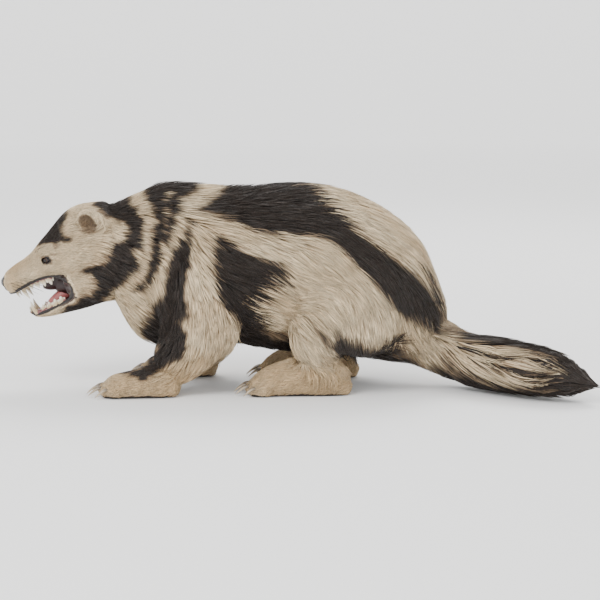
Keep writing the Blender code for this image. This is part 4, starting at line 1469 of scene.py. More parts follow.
    def in_mouth(self, head: Array) -> Array:
        """Which points are inside the mouth: behind the lips' edges, in the throat and in the corners' folds.

        Args:
            head: the skin's points in the head's own axes.

        Returns:
            True for each point inside.
        """
        back, across, height = head[:, 0], np.abs(head[:, 1]), head[:, 2]
        upper, lower = np.array(UPPER_LIP), np.array(LOWER_LIP)
        roof, floor = mouth_heights(back)
        middle, corner = (roof + floor) / 2, upper[-1, 0]
        upper_edge = np.interp(back, upper[:, 0], upper[:, 1])
        lower_edge = np.interp(back, lower[:, 0], lower[:, 1])
        above = (back > 0.0078) & (back < corner) & (height > middle) & (height < roof + 0.012)
        above &= across < upper_edge - LIP_EDGE
        below = (back > 0.0285) & (back < corner) & (height <= middle) & (height > floor - 0.006)
        below &= across < lower_edge - LIP_EDGE
        throat = (back >= corner) & (back < 0.150) & (across < 0.034) & (height > -0.066) & (height < -0.022)
        web = (back > 0.085) & (back < corner) & (across < 0.056)
        web &= (height < roof - 0.001) & (height > floor + 0.001)
        fold = (back > corner - 0.002) & (back < 0.126) & (across < 0.050) & (np.abs(height + 0.047) < 0.021)
        off = np.column_stack([back, across, height]) - MOUTH_CUT
        cut = np.linalg.norm(off / MOUTH_CUT_RADII, axis=1) < 1.09
        side = (self.lip_gap < 0.0062) & (across < upper_edge + LIP_EDGE) & (back > 0.078)
        front = (self.lip_gap < 0.0055) & (back < 0.040) & (height < -0.055) & (height > floor - LIP_EDGE)
        return above | below | throat | web | fold | cut | side | front

    def paint(self) -> None:
        """Gives the skin the coat's markings, darker as the hair shades it, the bare skin's colours, and
        painted shade deep in the mouth.
        """
        dark = self.markings.darkness(self.points, self.normals, self.tail)
        colours = self.tints.pelt(dark, self.tan(self.points), 0.35, np.full(len(dark), 0.85))
        short = smoothstep(0.018, 0.010, self.growth[:, 0])
        lighter = self.tints.pelt(dark, self.tan(self.points), 0.75, np.full(len(dark), 0.90))
        colours = colours * (1 - short[:, None]) + lighter * short[:, None]
        wet = np.zeros(len(dark))
        rims = smoothstep(0.0048, 0.0034, self.lip_gap)
        rims = np.maximum(rims, smoothstep(EYE_RADIUS + 0.0034, EYE_RADIUS + 0.0020, self.eye_gap))
        rims = np.maximum(rims, self.nose.astype(float))
        mouth = self.mouth.astype(float) * (1 - rims)
        for share, colour, shine in (
            (mouth, self.tints.mouth, 0.9),
            # painted shade: the back of the mouth darkens to near-black towards the throat
            (mouth * self.depth, self.tints.throat, 0.9),
            (rims, self.tints.lip, 0.6),
            (self.sole.astype(float), self.tints.sole, 0.2),
        ):
            colours = colours * (1 - share[:, None]) + np.array(colour) * share[:, None]
            wet = np.maximum(wet, share * shine)
        painted(self.obj.data, colours)
        layer = self.obj.data.attributes.new("wet", "FLOAT", "POINT")
        layer.data.foreach_set("value", wet.astype(np.float32))

    def tan(self, points: Array) -> Array:
        """How brown the pale coat is: most on the feet, legs and muzzle, least on the head and flanks.

        Args:
            points: places in the animal's own axes, a row each.

        Returns:
            The brownness at each point, from 0 to 1.
        """
        x, _, z = points.T
        back = in_head(points)[:, 0]
        low = smoothstep(0.12, 0.04, z) * smoothstep(0.20, 0.15, x)
        muzzle = smoothstep(0.060, 0.020, back)
        mottled = 0.22 + 0.22 * waves(points, 0.050, 21) + 0.12 * waves(points, 0.018, 22)
        return np.clip(0.75 * low + 0.45 * muzzle + mottled, 0, 1)


@dataclass(frozen=True)
class Roots:
    """Where tufts grow: their places, triangles and places on the unwrap."""

    places: Array
    faces: Array
    unwrap: Array


@dataclass(frozen=True)
class TuftForm:
    """A kind of tuft, by its stations from root to tip: share of the length, rise, width and thickness."""

    shares: Row
    rises: Row
    widths: Row
    thickness: float
    sink: float


LONG_TUFT = TuftForm((0.0, 0.30, 0.66, 1.0), (0.0, 0.50, 0.86, 1.0), (0.75, 1.0, 0.72, 0.0), 0.30, 0.0020)
RUFF_TUFT = TuftForm(
    (0.0, 0.21, 0.41, 0.61, 0.81, 1.0),
    (0.0, 0.40, 0.65, 0.82, 0.93, 1.0),
    (0.75, 1.0, 0.94, 0.78, 0.50, 0.0),
    0.30,
    0.0020,
)
SHORT_TUFT = TuftForm((0.0, 0.50, 1.0), (0.0, 0.62, 1.0), (0.85, 1.0, 0.0), 0.30, 0.0006)


@dataclass
class Coat:
    """The coat: seeded tufts that follow the lie, draw together in locks and carry the markings."""

    skin: Skin
    tints: Tints
    seed: int = 7
    density: float = 1.0
    lock_spacing: float = 0.0155
    long_from: float = 0.019
    most_faces: int = 190_000
    patch: float = 0.003
    tail_brush: float = 0.060
    ruff_until: float = -0.150
    sway: float = 0.22
    sway_size: float = 0.040
    eye_gap: float = 0.0022
    lip_gap: float = 0.0012
    lowest_hair: float = 0.0016
    lowest_edge: float = 0.0008
    roll_spread: float = 0.45
    bright_spread: float = 0.13
    tan_spread: float = 0.12

    def __post_init__(self) -> None:
        """Reads the skin's triangles."""
        skin = self.skin
        self.rng = np.random.default_rng(self.seed)
        a, b, c = (skin.points[skin.corners[:, k]] for k in range(3))
        self.areas = np.linalg.norm(np.cross(b - a, c - a), axis=1) / 2
        self.face_lie = unit(skin.lie[skin.corners].mean(axis=1))
        self.face_normal = unit(skin.normals[skin.corners].mean(axis=1))
        self.face_growth = skin.growth[skin.corners].mean(axis=1)
        self.face_bare = skin.bare[skin.corners].any(axis=1)
        self.face_uv = read(skin.obj.data.uv_layers[UNWRAP].data, "uv", 2)[skin.loops]

    def sow(self, wanted: Array, density: Array) -> Roots:
        """Spreads roots over the wanted triangles, density of them to a square metre.

        Args:
            wanted: which of the skin's triangles the tufts grow on.
            density: how many roots to a square metre, for each triangle.

        Returns:
            The roots.
        """
        weight = self.areas * density * wanted
        total = weight.sum()
        count = int(total)
        marks = (np.arange(count) + self.rng.random(count)) * total / count
        faces = np.searchsorted(np.cumsum(weight), marks).clip(0, len(weight) - 1)
        u, v = self.rng.random(count), self.rng.random(count)
        over = u + v > 1
        u[over], v[over] = 1 - u[over], 1 - v[over]
        shares = np.column_stack([1 - u - v, u, v])[:, :, None]
        places = (self.skin.points[self.skin.corners[faces]] * shares).sum(axis=1)
        return Roots(places, faces, (self.face_uv[faces] * shares).sum(axis=1))

    def nearest(self, points: Array) -> tuple[Array, Array]:
        """The skin's nearest point to each point, and its triangle.

        Args:
            points: places in the animal's own axes, a row each.

        Returns:
            The nearest points and their triangles.
        """
        find = self.skin.tree.find_nearest
        found, faces = np.empty_like(points), np.empty(len(points), np.int64)
        for i, point in enumerate(points.tolist()):
            place, _, face, _ = find(point)
            found[i], faces[i] = place, face
        return found, faces

    def march(
        self, roots: Roots, form: TuftForm, lengths: Array, lifts: Array, sway: Array
    ) -> tuple[Array, Array, Array]:
        """Walks each tuft along the lie over the skin.

        Args:
            roots: where the tufts grow.
            form: the kind of tuft.
            lengths: each tuft's length.
            lifts: how far each tip stands off the skin.
            sway: each tuft's angle to the lie, in radians.

        Returns:
            The middle line's points, the skin's normals and the headings, each by tuft and station.
        """
        at, faces = roots.places.copy(), roots.faces
        normal, lie = self.face_normal[faces], self.face_lie[faces]
        across = np.cross(normal, lie)
        heading = unit(lie * np.cos(sway)[:, None] + across * np.sin(sway)[:, None])
        lines, normals, headings = [at - normal * form.sink], [normal], [heading]
        loose = np.zeros(len(at), bool)
        for k in range(1, len(form.shares)):
            stride = (lengths * (form.shares[k] - form.shares[k - 1]))[:, None]
            ahead = at + heading * stride
            found, faces = self.nearest(ahead)
            moved = np.linalg.norm(found - at, axis=1)
            loose |= moved < 0.55 * stride[:, 0]
            there = self.face_normal[faces]
            went = unit(found - at)
            turned = unit(laid(0.75 * went + 0.25 * self.face_lie[faces], there))
            free = loose[:, None]
            at = np.where(free, ahead - normal * stride * 0.30, found)
            heading = np.where(free, heading, turned)
            normal = np.where(free, normal, there)
            lines.append(at + normal * (lifts * form.rises[k])[:, None])
            normals.append(normal)
            headings.append(heading)
        return np.stack(lines, 1), np.stack(normals, 1), np.stack(headings, 1)

    def locks(self, wanted: Array, form: TuftForm) -> tuple[KDTree, Array]:
        """The middle lines of the locks that tufts draw together in, with a search tree of their roots.

        Args:
            wanted: which of the skin's triangles the tufts grow on.
            form: the kind of tuft.

        Returns:
            The search tree and the middle lines.
        """
        roots = self.sow(wanted, np.full(len(self.areas), 1 / self.lock_spacing**2))
        growth = self.face_growth[roots.faces]
        ripple = self.sway * waves(roots.places, self.sway_size, 31)
        ripple += self.rng.normal(0, 0.10, len(roots.faces))
        ripple *= self.calm(roots.places)
        lengths, lifts = growth[:, 0] * 1.04, growth[:, 2] * 1.12
        lines, _, headings = self.march(roots, form, lengths, lifts, ripple)
        self.brush_end(roots, form, lengths, lifts, lines, headings)
        return search_tree(roots.places.tolist()), lines

    def grow(self, wanted: Array, form: TuftForm) -> "Tufts":
        """Grows one kind of tuft over the wanted triangles.

        Args:
            wanted: which of the skin's triangles the tufts grow on.
            form: the kind of tuft.

        Returns:
            The tufts.
        """
        growth = self.face_growth
        roots = self.sow(wanted, self.density / growth[:, 3] ** 2)
        size = growth[roots.faces]
        count = len(roots.faces)
        lengths = size[:, 0] * self.rng.uniform(0.80, 1.15, count)
        lifts = size[:, 2] * self.rng.uniform(0.55, 1.08, count)
        calm = self.calm(roots.places)
        sway = calm * (self.sway * waves(roots.places, self.sway_size, 31) + self.rng.normal(0, 0.13, count))
        lines, normals, headings = self.march(roots, form, lengths, lifts, sway)
        self.brush_end(roots, form, lengths, lifts, lines, headings)
        tree, lock_lines = self.locks(wanted, form)
        index = np.array([tree.find(p)[1] for p in roots.places.tolist()])
        pull = size[:, 4] * self.rng.uniform(0.6, 1.2, count)
        for k, share in enumerate(form.shares):
            weight = (pull * share**1.3)[:, None]
            lines[:, k] = lines[:, k] * (1 - weight) + lock_lines[index, k] * weight
        reach = self.rng.uniform(0.45, 1.05, len(lock_lines))[index] * self.rng.uniform(0.85, 1.0, count)
        lines = self.gathered(lines, reach * self.tail_brush)
        lines[:, :, 2] = np.maximum(lines[:, :, 2], self.lowest_hair)
        tufts = Tufts(roots, lines, normals, headings, size[:, 1] * self.rng.uniform(0.75, 1.25, count), form)
        return tufts.kept(self.clear_of_face(lines))

    def calm(self, places: Array) -> Array:
        """A factor on how far tufts stray from the lie: the tail's long hair hangs straighter."""
        return 1 - 0.6 * smoothstep(0.19, 0.23, places[:, 0])

    def tail_end(self) -> tuple[Array, Array]:
        """The middle of the tail's last section and its heading."""
        end = self.skin.tail.sections[-1]
        return np.array((end.x, end.y, end.z)), np.array(tuple(end.axes()[0]))

    def brush_end(
        self, roots: Roots, form: TuftForm, lengths: Array, lifts: Array, lines: Array, headings: Array
    ) -> None:
        """Lays the hair near the tail's end straight along the tail, where the skin under it closes.

        Args:
            roots: where the tufts grow.
            form: the kind of tuft.
            lengths: each tuft's length.
            lifts: how far each tip stands off the skin.
            lines: the tufts' middle lines, which are changed in place.
            headings: the tufts' headings, which are changed in place.
        """
        middle, heading = self.tail_end()
        off = roots.places - middle
        beyond = off @ heading
        outward = unit(off - beyond[:, None] * heading)
        straight = smoothstep(-0.085, -0.040, beyond)[:, None]
        for k, share in enumerate(form.shares):
            rise = (lifts * form.rises[k] * (1 - 0.5 * share))[:, None]
            laid = roots.places + heading * (lengths * share)[:, None] + outward * rise
            lines[:, k] = lines[:, k] * (1 - straight) + laid * straight
            headings[:, k] = unit(headings[:, k] * (1 - straight) + heading * straight)

    def gathered(self, lines: Array, reach: Array) -> Array:
        """Draws the hair that passes the tail's end together into pointed locks, each with its own reach.

        Args:
            lines: the tufts' middle lines, by tuft and station.
            reach: how far each tuft passes the tail's end.

        Returns:
            The middle lines, drawn together.
        """
        middle, heading = self.tail_end()
        beyond = (lines - middle) @ heading
        radial = lines - middle - beyond[..., None] * heading
        reach = reach[:, None]
        held = reach * np.tanh(np.maximum(beyond, 0) / reach)
        narrow = 1 - 0.95 * smoothstep(-0.25, 0.80, np.maximum(beyond, 0) / self.tail_brush)
        narrow /= narrow.max()
        drawn = middle + heading * held[..., None] + radial * narrow[..., None]
        return np.where((beyond > 0)[..., None], drawn, lines)

    def clear_of_face(self, lines: Array) -> Array:
        """Which tufts cover neither an eye nor the mouth.

        Args:
            lines: the tufts' middle lines, by tuft and station.

        Returns:
            True for each tuft that is clear.
        """
        clear = np.ones(len(lines), bool)
        for side in Side:
            eye = np.array(tuple(eye_frame(side)[0]))
            for k in range(1, lines.shape[1]):
                clear &= np.linalg.norm(lines[:, k] - eye, axis=1) > EYE_RADIUS + self.eye_gap
        back, side, height = np.moveaxis(in_head(lines), -1, 0)
        roof, floor = mouth_heights(back)
        inside = (back > 0.012) & (back < UPPER_LIP[-1][0]) & (np.abs(side) < 0.056)
        inside &= (height < roof - self.lip_gap) & (height > floor + self.lip_gap)
        return clear & ~inside.any(axis=1)

    def build(self) -> list[Thing]:
        """All pieces of the coat, dark and pale apart, each under the limit of faces.

        Returns:
            The pieces.
        """
        covered = ~self.face_bare
        is_long = self.face_growth[:, 0] > self.long_from
        ahead = self.skin.points[self.skin.corners].mean(axis=1)[:, 0] < self.ruff_until
        pieces = []
        for name, wanted, form in (
            ("long", covered & is_long & ~ahead, LONG_TUFT),
            ("ruff", covered & is_long & ahead, RUFF_TUFT),
            ("short", covered & ~is_long, SHORT_TUFT),
        ):
            tufts = self.grow(wanted, form)
            dark = tufts.darkness(self.skin, self.rng)
            mean = dark[:, 1:].mean(axis=1)
            LOG.info("%s coat: %d tufts", name, len(dark))
            for shade, chosen in (("pale", mean < 0.5), ("dark", mean >= 0.5)):
                pieces += tufts.kept(chosen).meshes(f"coat_{name}_{shade}", self, dark[chosen])
        return pieces


@dataclass
class Tufts:
    """Grown tufts, ready to be made into meshes."""

    roots: Roots
    lines: Array
    normals: Array
    headings: Array
    widths: Array
    form: TuftForm

    def kept(self, chosen: Array) -> "Tufts":
        """Only the chosen tufts.

        Args:
            chosen: which tufts.

        Returns:
            The chosen tufts.
        """
        roots = Roots(self.roots.places[chosen], self.roots.faces[chosen], self.roots.unwrap[chosen])
        lines, normals, headings = self.lines[chosen], self.normals[chosen], self.headings[chosen]
        return Tufts(roots, lines, normals, headings, self.widths[chosen], self.form)

    def darkness(self, skin: Skin, rng: np.random.Generator) -> Array:
        """How dark each tuft is at each station.

        On the body a tuft has one shade, read at the part of it that shows. On the neck, shoulders and
        haunches, where the markings and the neck's painted fold shadow are narrow, it changes shade along its
        length.

        Args:
            skin: the skin that carries the markings.
            rng: the source of random values.

        Returns:
            The darkness by tuft and station.
        """
        count, stations = self.lines.shape[:2]
        along = self.lines[:, -1] - self.lines[:, 0]
        shown = self.lines[:, 0] + along * rng.uniform(0.52, 0.98, count)[:, None]
        whole = skin.markings.darkness(shown, self.normals[:, 1], skin.tail)
        x, _, z = self.roots.places.T
        haunch = smoothstep(-0.01, 0.01, x) * smoothstep(0.225, 0.205, x) * smoothstep(0.18, 0.16, z)
        banded = np.maximum(smoothstep(-0.150, -0.175, x), haunch)
        shades = np.repeat(whole[:, None], stations, axis=1)
        stray = unit(along) * rng.normal(0, 0.0020, count)[:, None]
        some = np.flatnonzero(banded > 0)
        for k in range(stations):
            own = skin.markings.darkness((self.lines[:, k] + stray)[some], self.normals[some, 1], skin.tail)
            shades[some, k] = shades[some, k] * (1 - banded[some]) + own * banded[some]
        return shades

    def meshes(self, name: str, coat: Coat, dark: Array) -> list[Thing]:
        """The tufts as pieces of joined meshes.

        Args:
            name: the start of the pieces' names.
            coat: the coat that the tufts belong to.
            dark: the darkness by tuft and station.

        Returns:
            The pieces.
        """
        rings = len(self.form.shares) - 1
        faces_each = 6 * (rings - 1) + 3 + 1
        each = coat.most_faces // faces_each
        made = []
        for number, start in enumerate(range(0, len(dark), each)):
            chosen = np.zeros(len(dark), bool)
            chosen[start : start + each] = True
            part = self.kept(chosen)
            made.append(part.mesh(f"{name}_{number + 1}", coat, dark[chosen]))
        return made

    def pattern(self) -> Array:
        """The triangles of one tuft.

        Returns:
            The triangles, as indices into the tuft's points.
        """
        rings = len(self.form.shares) - 1
        faces = [(2, 1, 0)]
        for ring in range(rings - 1):
            for k in range(3):
                a, b = 3 * ring + k, 3 * ring + (k + 1) % 3
                faces += [(a, b, b + 3), (a, b + 3, a + 3)]
        last = 3 * (rings - 1)
        faces += [(last + k, last + (k + 1) % 3, last + 3) for k in range(3)]
        return np.array(faces)

    def mesh(self, name: str, coat: Coat, dark: Array) -> Thing:
        """One piece: each tuft a closed flat blade that tapers to a point.

        Args:
            name: the new object's name.
            coat: the coat that the tufts belong to.
            dark: the darkness by tuft and station.

        Returns:
            The piece.
        """
        count, form, rng = len(dark), self.form, coat.rng
        rings = len(form.shares) - 1
        per = 3 * rings + 1
        points = np.empty((count, per, 3))
        colours = np.empty((count, per, 3))
        uv = np.empty((count, per, 2))
        roll = rng.normal(0, coat.roll_spread, count)[:, None]
        bright = np.clip(rng.normal(1.0, coat.bright_spread, count), 0.6, 1.45)
        bright *= 1 + 0.10 * waves(self.roots.places, 0.012, 41)
        tan = np.clip(coat.skin.tan(self.roots.places) + rng.normal(0, coat.tan_spread, count), 0, 1)
        for ring in range(rings):
            share = form.shares[ring]
            across = unit(np.cross(self.normals[:, ring], self.headings[:, ring]))
            out = self.normals[:, ring]
            rolled = across * np.cos(roll) + out * np.sin(roll)
            up = out * np.cos(roll) - across * np.sin(roll)
            half = (self.widths * form.widths[ring] / 2)[:, None]
            thick = half * 2 * form.thickness
            middle = self.lines[:, ring]
            points[:, 3 * ring] = middle - rolled * half - up * thick * 0.5
            points[:, 3 * ring + 1] = middle + up * thick
            points[:, 3 * ring + 2] = middle + rolled * half - up * thick * 0.5
            shade = coat.tints.pelt(dark[:, ring], tan, share, bright)
            for k in range(3):
                colours[:, 3 * ring + k] = shade
                uv[:, 3 * ring + k] = self.roots.unwrap + coat.patch * np.array(((k - 1) / 2, share - 0.5))
        points[:, -1] = self.lines[:, rings]
        colours[:, -1] = coat.tints.pelt(dark[:, -1], tan, 1.0, bright)
        uv[:, -1] = self.roots.unwrap + coat.patch * np.array((0, 0.5))
        points[:, :, 2] = np.maximum(points[:, :, 2], coat.lowest_edge)
        faces = (self.pattern()[None] + (np.arange(count) * per)[:, None, None]).reshape(-1, 3)
        mesh = bpy.data.meshes.new(name)
        mesh.vertices.add(count * per)
        mesh.vertices.foreach_set("co", points.ravel())
        mesh.loops.add(faces.size)
        mesh.loops.foreach_set("vertex_index", faces.ravel().astype(np.int32))
        mesh.polygons.add(len(faces))
        mesh.polygons.foreach_set("loop_start", np.arange(len(faces), dtype=np.int32) * 3)
        mesh.polygons.foreach_set("use_smooth", np.ones(len(faces), bool))
        mesh.update(calc_edges=True)
        painted(mesh, colours.reshape(-1, 3))
        layer = mesh.uv_layers.new(name=UNWRAP)
        layer.data.foreach_set("uv", uv.reshape(-1, 2)[faces.ravel()].clip(0, 1).ravel())
        return linked(name, mesh)


class Graph:
    """A material's node tree, with short ways to add to it."""

    def __init__(self, name: str, roughness: float = 0.5) -> None:
        """Starts a material with one Principled shader.

        Args:
            name: the material's name.
            roughness: how rough its surface is.
        """
        self.material = bpy.data.materials.new(name)
        self.material.use_nodes = True
        self.tree = self.material.node_tree
        self.shader = self.tree.nodes["Principled BSDF"]
        self.set(Roughness=roughness)

    def set(self, **values: float | Row | Socket) -> None:
        """Sets or feeds sockets of the shader, with underscores for the spaces in their names.

        Args:
            values: a value or another node's output for each socket.
        """
        for name, value in values.items():
            socket = self.shader.inputs[name.replace("_", " ")]
            if isinstance(value, Socket):
                self.link(value, socket)
            else:
                socket.default_value = value

    def add(self, kind: str, **values: float | str) -> bpy.types.Node:
        """Adds a node. A name that is an input's sets that input, and any other a setting.

        Args:
            kind: the kind of node.
            values: its inputs and settings by name.

        Returns:
            The node.
        """
        node = self.tree.nodes.new(kind)
        for name, value in values.items():
            socket = name.replace("_", " ")
            if socket in node.inputs:
                node.inputs[socket].default_value = value
            else:
                setattr(node, name, value)
        return node

    def link(self, start: Socket, end: Socket) -> None:
        """Joins two sockets."""
        self.tree.links.new(start, end)

    def noise(self, scale: float, detail: float = 3.0, stretch: Row = (1, 1, 1)) -> Socket:
        """A noise over the object's own space.

        Args:
            scale: how fine it is.
            detail: how many finer layers it has.
            stretch: a factor on its fineness along each axis.

        Returns:
            The noise, from 0 to 1.
        """
        place = self.add("ShaderNodeTexCoord")
        mapping = self.add("ShaderNodeMapping")
        mapping.inputs["Scale"].default_value = stretch
        node = self.add("ShaderNodeTexNoise", Scale=scale, Detail=detail)
        self.link(place.outputs["Object"], mapping.inputs["Vector"])
        self.link(mapping.outputs["Vector"], node.inputs["Vector"])
        return node.outputs["Fac"]

    def cells(self, scale: float) -> Socket:
        """Rounded cells over the object's own space, as the distance to each cell's middle.

        Args:
            scale: how fine they are.

        Returns:
            The distance.
        """
        place = self.add("ShaderNodeTexCoord")
        node = self.add("ShaderNodeTexVoronoi", Scale=scale)
        self.link(place.outputs["Object"], node.inputs["Vector"])
        return node.outputs["Distance"]

    def ranged(self, value: Socket, low: float, high: float) -> Socket:
        """The value, from 0 to 1, moved to between low and high.

        Args:
            value: the value.
            low: what 0 becomes.
            high: what 1 becomes.

        Returns:
            The moved value.
        """
        node = self.add("ShaderNodeMapRange")
        node.inputs["To Min"].default_value, node.inputs["To Max"].default_value = low, high
        self.link(value, node.inputs["Value"])
        return node.outputs["Result"]

    def attribute(self, name: str, output: str = "Color") -> Socket:
        """A value painted on the mesh."""
        return self.add("ShaderNodeAttribute", attribute_name=name).outputs[output]

    def scaled(self, colour: Socket, factor: Socket) -> Socket:
        """The colour times the factor.

        Args:
            colour: the colour.
            factor: the factor.

        Returns:
            The scaled colour.
        """
        node = self.add("ShaderNodeVectorMath", operation="MULTIPLY")
        self.link(colour, node.inputs[0])
        self.link(factor, node.inputs[1])
        return node.outputs["Vector"]

    def bump(self, height: Socket, strength: float, distance: float) -> None:
        """Raises the shader's surface by the height.

        Args:
            height: the height.
            strength: how strongly it shows.
            distance: how high it is.
        """
        node = self.add("ShaderNodeBump", Strength=strength, Distance=distance)
        self.link(height, node.inputs["Height"])
        self.link(node.outputs["Normal"], self.shader.inputs["Normal"])


@dataclass(frozen=True)
class PeltFinish:
    """A painted surface with a fine grain: hair, skin, enamel, horn or a wet eye."""

    name: str
    scale: float
    detail: float
    stretch: Row
    shade: tuple[float, float]
    roughness: tuple[float, float]
    specular: float
    sheen: float = 0.0
    coat: float = 0.0
    coat_roughness: float = 0.03
    relief: float = 0.0
    depth: float = 0.0
    wets: bool = False

    def material(self) -> bpy.types.Material:
        """Makes the material.

        Returns:
            The material.
        """
        graph = Graph(self.name)
        graph.set(Specular_IOR_Level=self.specular, Sheen_Weight=self.sheen)
        graph.set(Coat_Weight=self.coat, Coat_Roughness=self.coat_roughness)
        grain = graph.noise(self.scale, self.detail, self.stretch)
        graph.set(Base_Color=graph.scaled(graph.attribute("pelt"), graph.ranged(grain, *self.shade)))
        rough, smooth = self.roughness
        if rough == smooth:
            graph.set(Roughness=rough)
        else:
            source = graph.attribute("wet", "Fac") if self.wets else grain
            graph.set(Roughness=graph.ranged(source, rough, smooth))
        if self.relief:
            graph.bump(grain, self.relief, self.depth)
        return graph.material


EVEN = (1.0, 1.0, 1.0)
FUR = PeltFinish("fur", 700.0, 2.0, EVEN, (0.80, 1.18), (0.46, 0.66), 0.35, sheen=0.06)
SKIN = PeltFinish(
    "skin", 420.0, 4.0, (1.0, 2.4, 2.4), (0.72, 1.22), (0.80, 0.24), 0.4, relief=0.45, depth=0.0008, wets=True
)
EYE = PeltFinish(
    "eye_wet", 900.0, 3.0, EVEN, (0.70, 1.30), (0.10, 0.10), 0.25, coat=0.30, coat_roughness=0.02
)
ENAMEL = PeltFinish(
    "enamel", 300.0, 3.0, (1.0, 1.0, 0.5), (0.82, 1.12), (0.18, 0.30), 0.5,
    coat=0.35, coat_roughness=0.15, relief=0.3, depth=0.0001,
)
HORN = PeltFinish(
    "claw_horn", 300.0, 3.0, (0.3, 2.0, 2.0), (0.82, 1.12), (0.24, 0.40), 0.5,
    coat=0.35, coat_roughness=0.15, relief=0.3, depth=0.0002,
)


@dataclass(frozen=True)
class MoistFinish:
    """Moist bare skin: nose leather, gum or tongue, with small raised cells."""

    name: str
    colour: tuple[float, float, float]
    other: tuple[float, float, float]
    cells: float
    height: float
    roughness: tuple[float, float]
    coat: float

    def material(self) -> bpy.types.Material:
        """Makes the material.

        Returns:
            The material.
        """
        graph = Graph(self.name)
        graph.set(Coat_Weight=self.coat, Coat_Roughness=0.12, Specular_IOR_Level=0.5)
        blotch = graph.noise(160.0, 4.0)
        mix = graph.add("ShaderNodeMix", data_type="RGBA")
        mix.inputs[6].default_value = (*self.colour, 1)
        mix.inputs[7].default_value = (*self.other, 1)
        graph.link(graph.ranged(blotch, -0.4, 1.4), mix.inputs[0])
        graph.set(Base_Color=mix.outputs[2], Roughness=graph.ranged(blotch, *self.roughness))
        graph.bump(graph.cells(self.cells), 0.6, self.height)
        return graph.material


NOSE_LEATHER = MoistFinish(
    "nose_leather", (0.010, 0.008, 0.008), (0.024, 0.018, 0.017), 1300.0, 0.0004, (0.28, 0.46), 0.30
)
TONGUE_FLESH = MoistFinish(
    "tongue_flesh", (0.46, 0.13, 0.12), (0.30, 0.07, 0.07), 1500.0, 0.0005, (0.26, 0.42), 0.45
)
GUM_FLESH = MoistFinish(
    "gum_flesh", (0.30, 0.085, 0.080), (0.070, 0.022, 0.022), 500.0, 0.0003, (0.22, 0.36), 0.50
)


@dataclass(frozen=True)
class FloorFinish:
    """The plain pale floor, which glows a little far out, where the lamps don't reach."""

    name: str = "floor_pale"
    glow: float = 0.46
    near: float = 1.0
    far: float = 5.2

    def material(self) -> bpy.types.Material:
        """Makes the material.

        Returns:
            The material.
        """
        graph = Graph(self.name, 0.9)
        graph.set(Specular_IOR_Level=0.2, Base_Color=(0.93, 0.93, 0.925, 1), Emission_Color=(1, 1, 1, 1))
        place = graph.add("ShaderNodeTexCoord")
        reach = graph.add("ShaderNodeVectorMath", operation="LENGTH")
        graph.link(place.outputs["Object"], reach.inputs[0])
        glow = graph.add("ShaderNodeMapRange", interpolation_type="SMOOTHSTEP")
        ends = (("From Min", self.near), ("From Max", self.far), ("To Min", 0.0), ("To Max", self.glow))
        for name, value in ends:
            glow.inputs[name].default_value = value
        graph.link(reach.outputs["Value"], glow.inputs["Value"])
        graph.set(Emission_Strength=glow.outputs["Result"])
        return graph.material


@dataclass
class Eyes:
    """The two eyeballs, each with a dark brown iris and a round pupil."""

    pupil: float = 19.0
    iris: float = 43.0

    def build(self) -> list[tuple[Side, Thing]]:
        """The eyeballs with their side.

        Returns:
            Each side with its eyeball.
        """
        made = []
        for side in Side:
            centre, turn = eye_frame(side)
            ball = ellipsoid(centre, [EYE_RADIUS] * 3, turn, 64)
            axis = turn @ Vector((-0.16, side.value, 0.02)).normalized()
            points = np.array([tuple(v.co - centre) for v in ball.data.vertices])
            facing = unit(points) @ np.array(tuple(axis))
            angle = np.degrees(np.arccos(np.clip(facing, -1, 1)))
            pupil, iris = self.pupil, self.iris
            rings = np.array([pupil - 1.5, pupil + 1.5, 0.6 * iris, iris - 4, iris + 2, 60])
            reds = (0.002, 0.022, 0.036, 0.014, 0.005, 0.020)
            greens = (0.002, 0.010, 0.015, 0.007, 0.003, 0.013)
            blues = (0.002, 0.005, 0.007, 0.004, 0.003, 0.016)
            colours = np.column_stack([np.interp(angle, rings, c) for c in (reds, greens, blues)])
            painted(ball.data, colours)
            made.append((side, named(ball, f"eyeball_{side.word}")))
        return made


@dataclass
class NosePad:
    """The bare nose: a broad rounded pad with two comma-shaped nostrils and a groove below."""

    voxel: float = 0.0007
    # middle and radii of each lump and of the groove, and for the hollows of a nostril their turn too
    lumps: tuple[tuple[Row, Row], ...] = (
        ((0.0095, 0, -0.0030), (0.0100, 0.0120, 0.0098)),
        ((0.0100, 0, -0.0110), (0.0088, 0.0070, 0.0090)),
        ((0.0105, -0.0090, -0.0052), (0.0085, 0.0062, 0.0078)),
        ((0.0105, 0.0090, -0.0052), (0.0085, 0.0062, 0.0078)),
    )
    nostril: tuple[tuple[Row, Row, float], ...] = (
        ((0.0015, 0.0068, -0.0050), (0.0062, 0.0027, 0.0032), 16.0),
        ((0.0070, 0.0138, -0.0062), (0.0060, 0.0030, 0.0013), 40.0),
    )
    groove: tuple[Row, Row] = ((0.0008, 0, -0.0140), (0.0024, 0.0006, 0.0070))

    def build(self) -> Thing:
        """The pad as one closed piece.

        Returns:
            The pad.
        """
        pad = blended([head_ellipsoid(middle, radii) for middle, radii in self.lumps], self.voxel, 4)
        for side in Side:
            s = side.value
            for place, radii, turn in self.nostril:
                boolean(pad, head_ellipsoid(mirrored(place, side), radii, s * turn), "DIFFERENCE")
        boolean(pad, head_ellipsoid(*self.groove), "DIFFERENCE")
        return named(pad, "nose_pad")


TOOTH_ROOT, TOOTH_TIP = (0.50, 0.38, 0.22), (0.76, 0.71, 0.58)


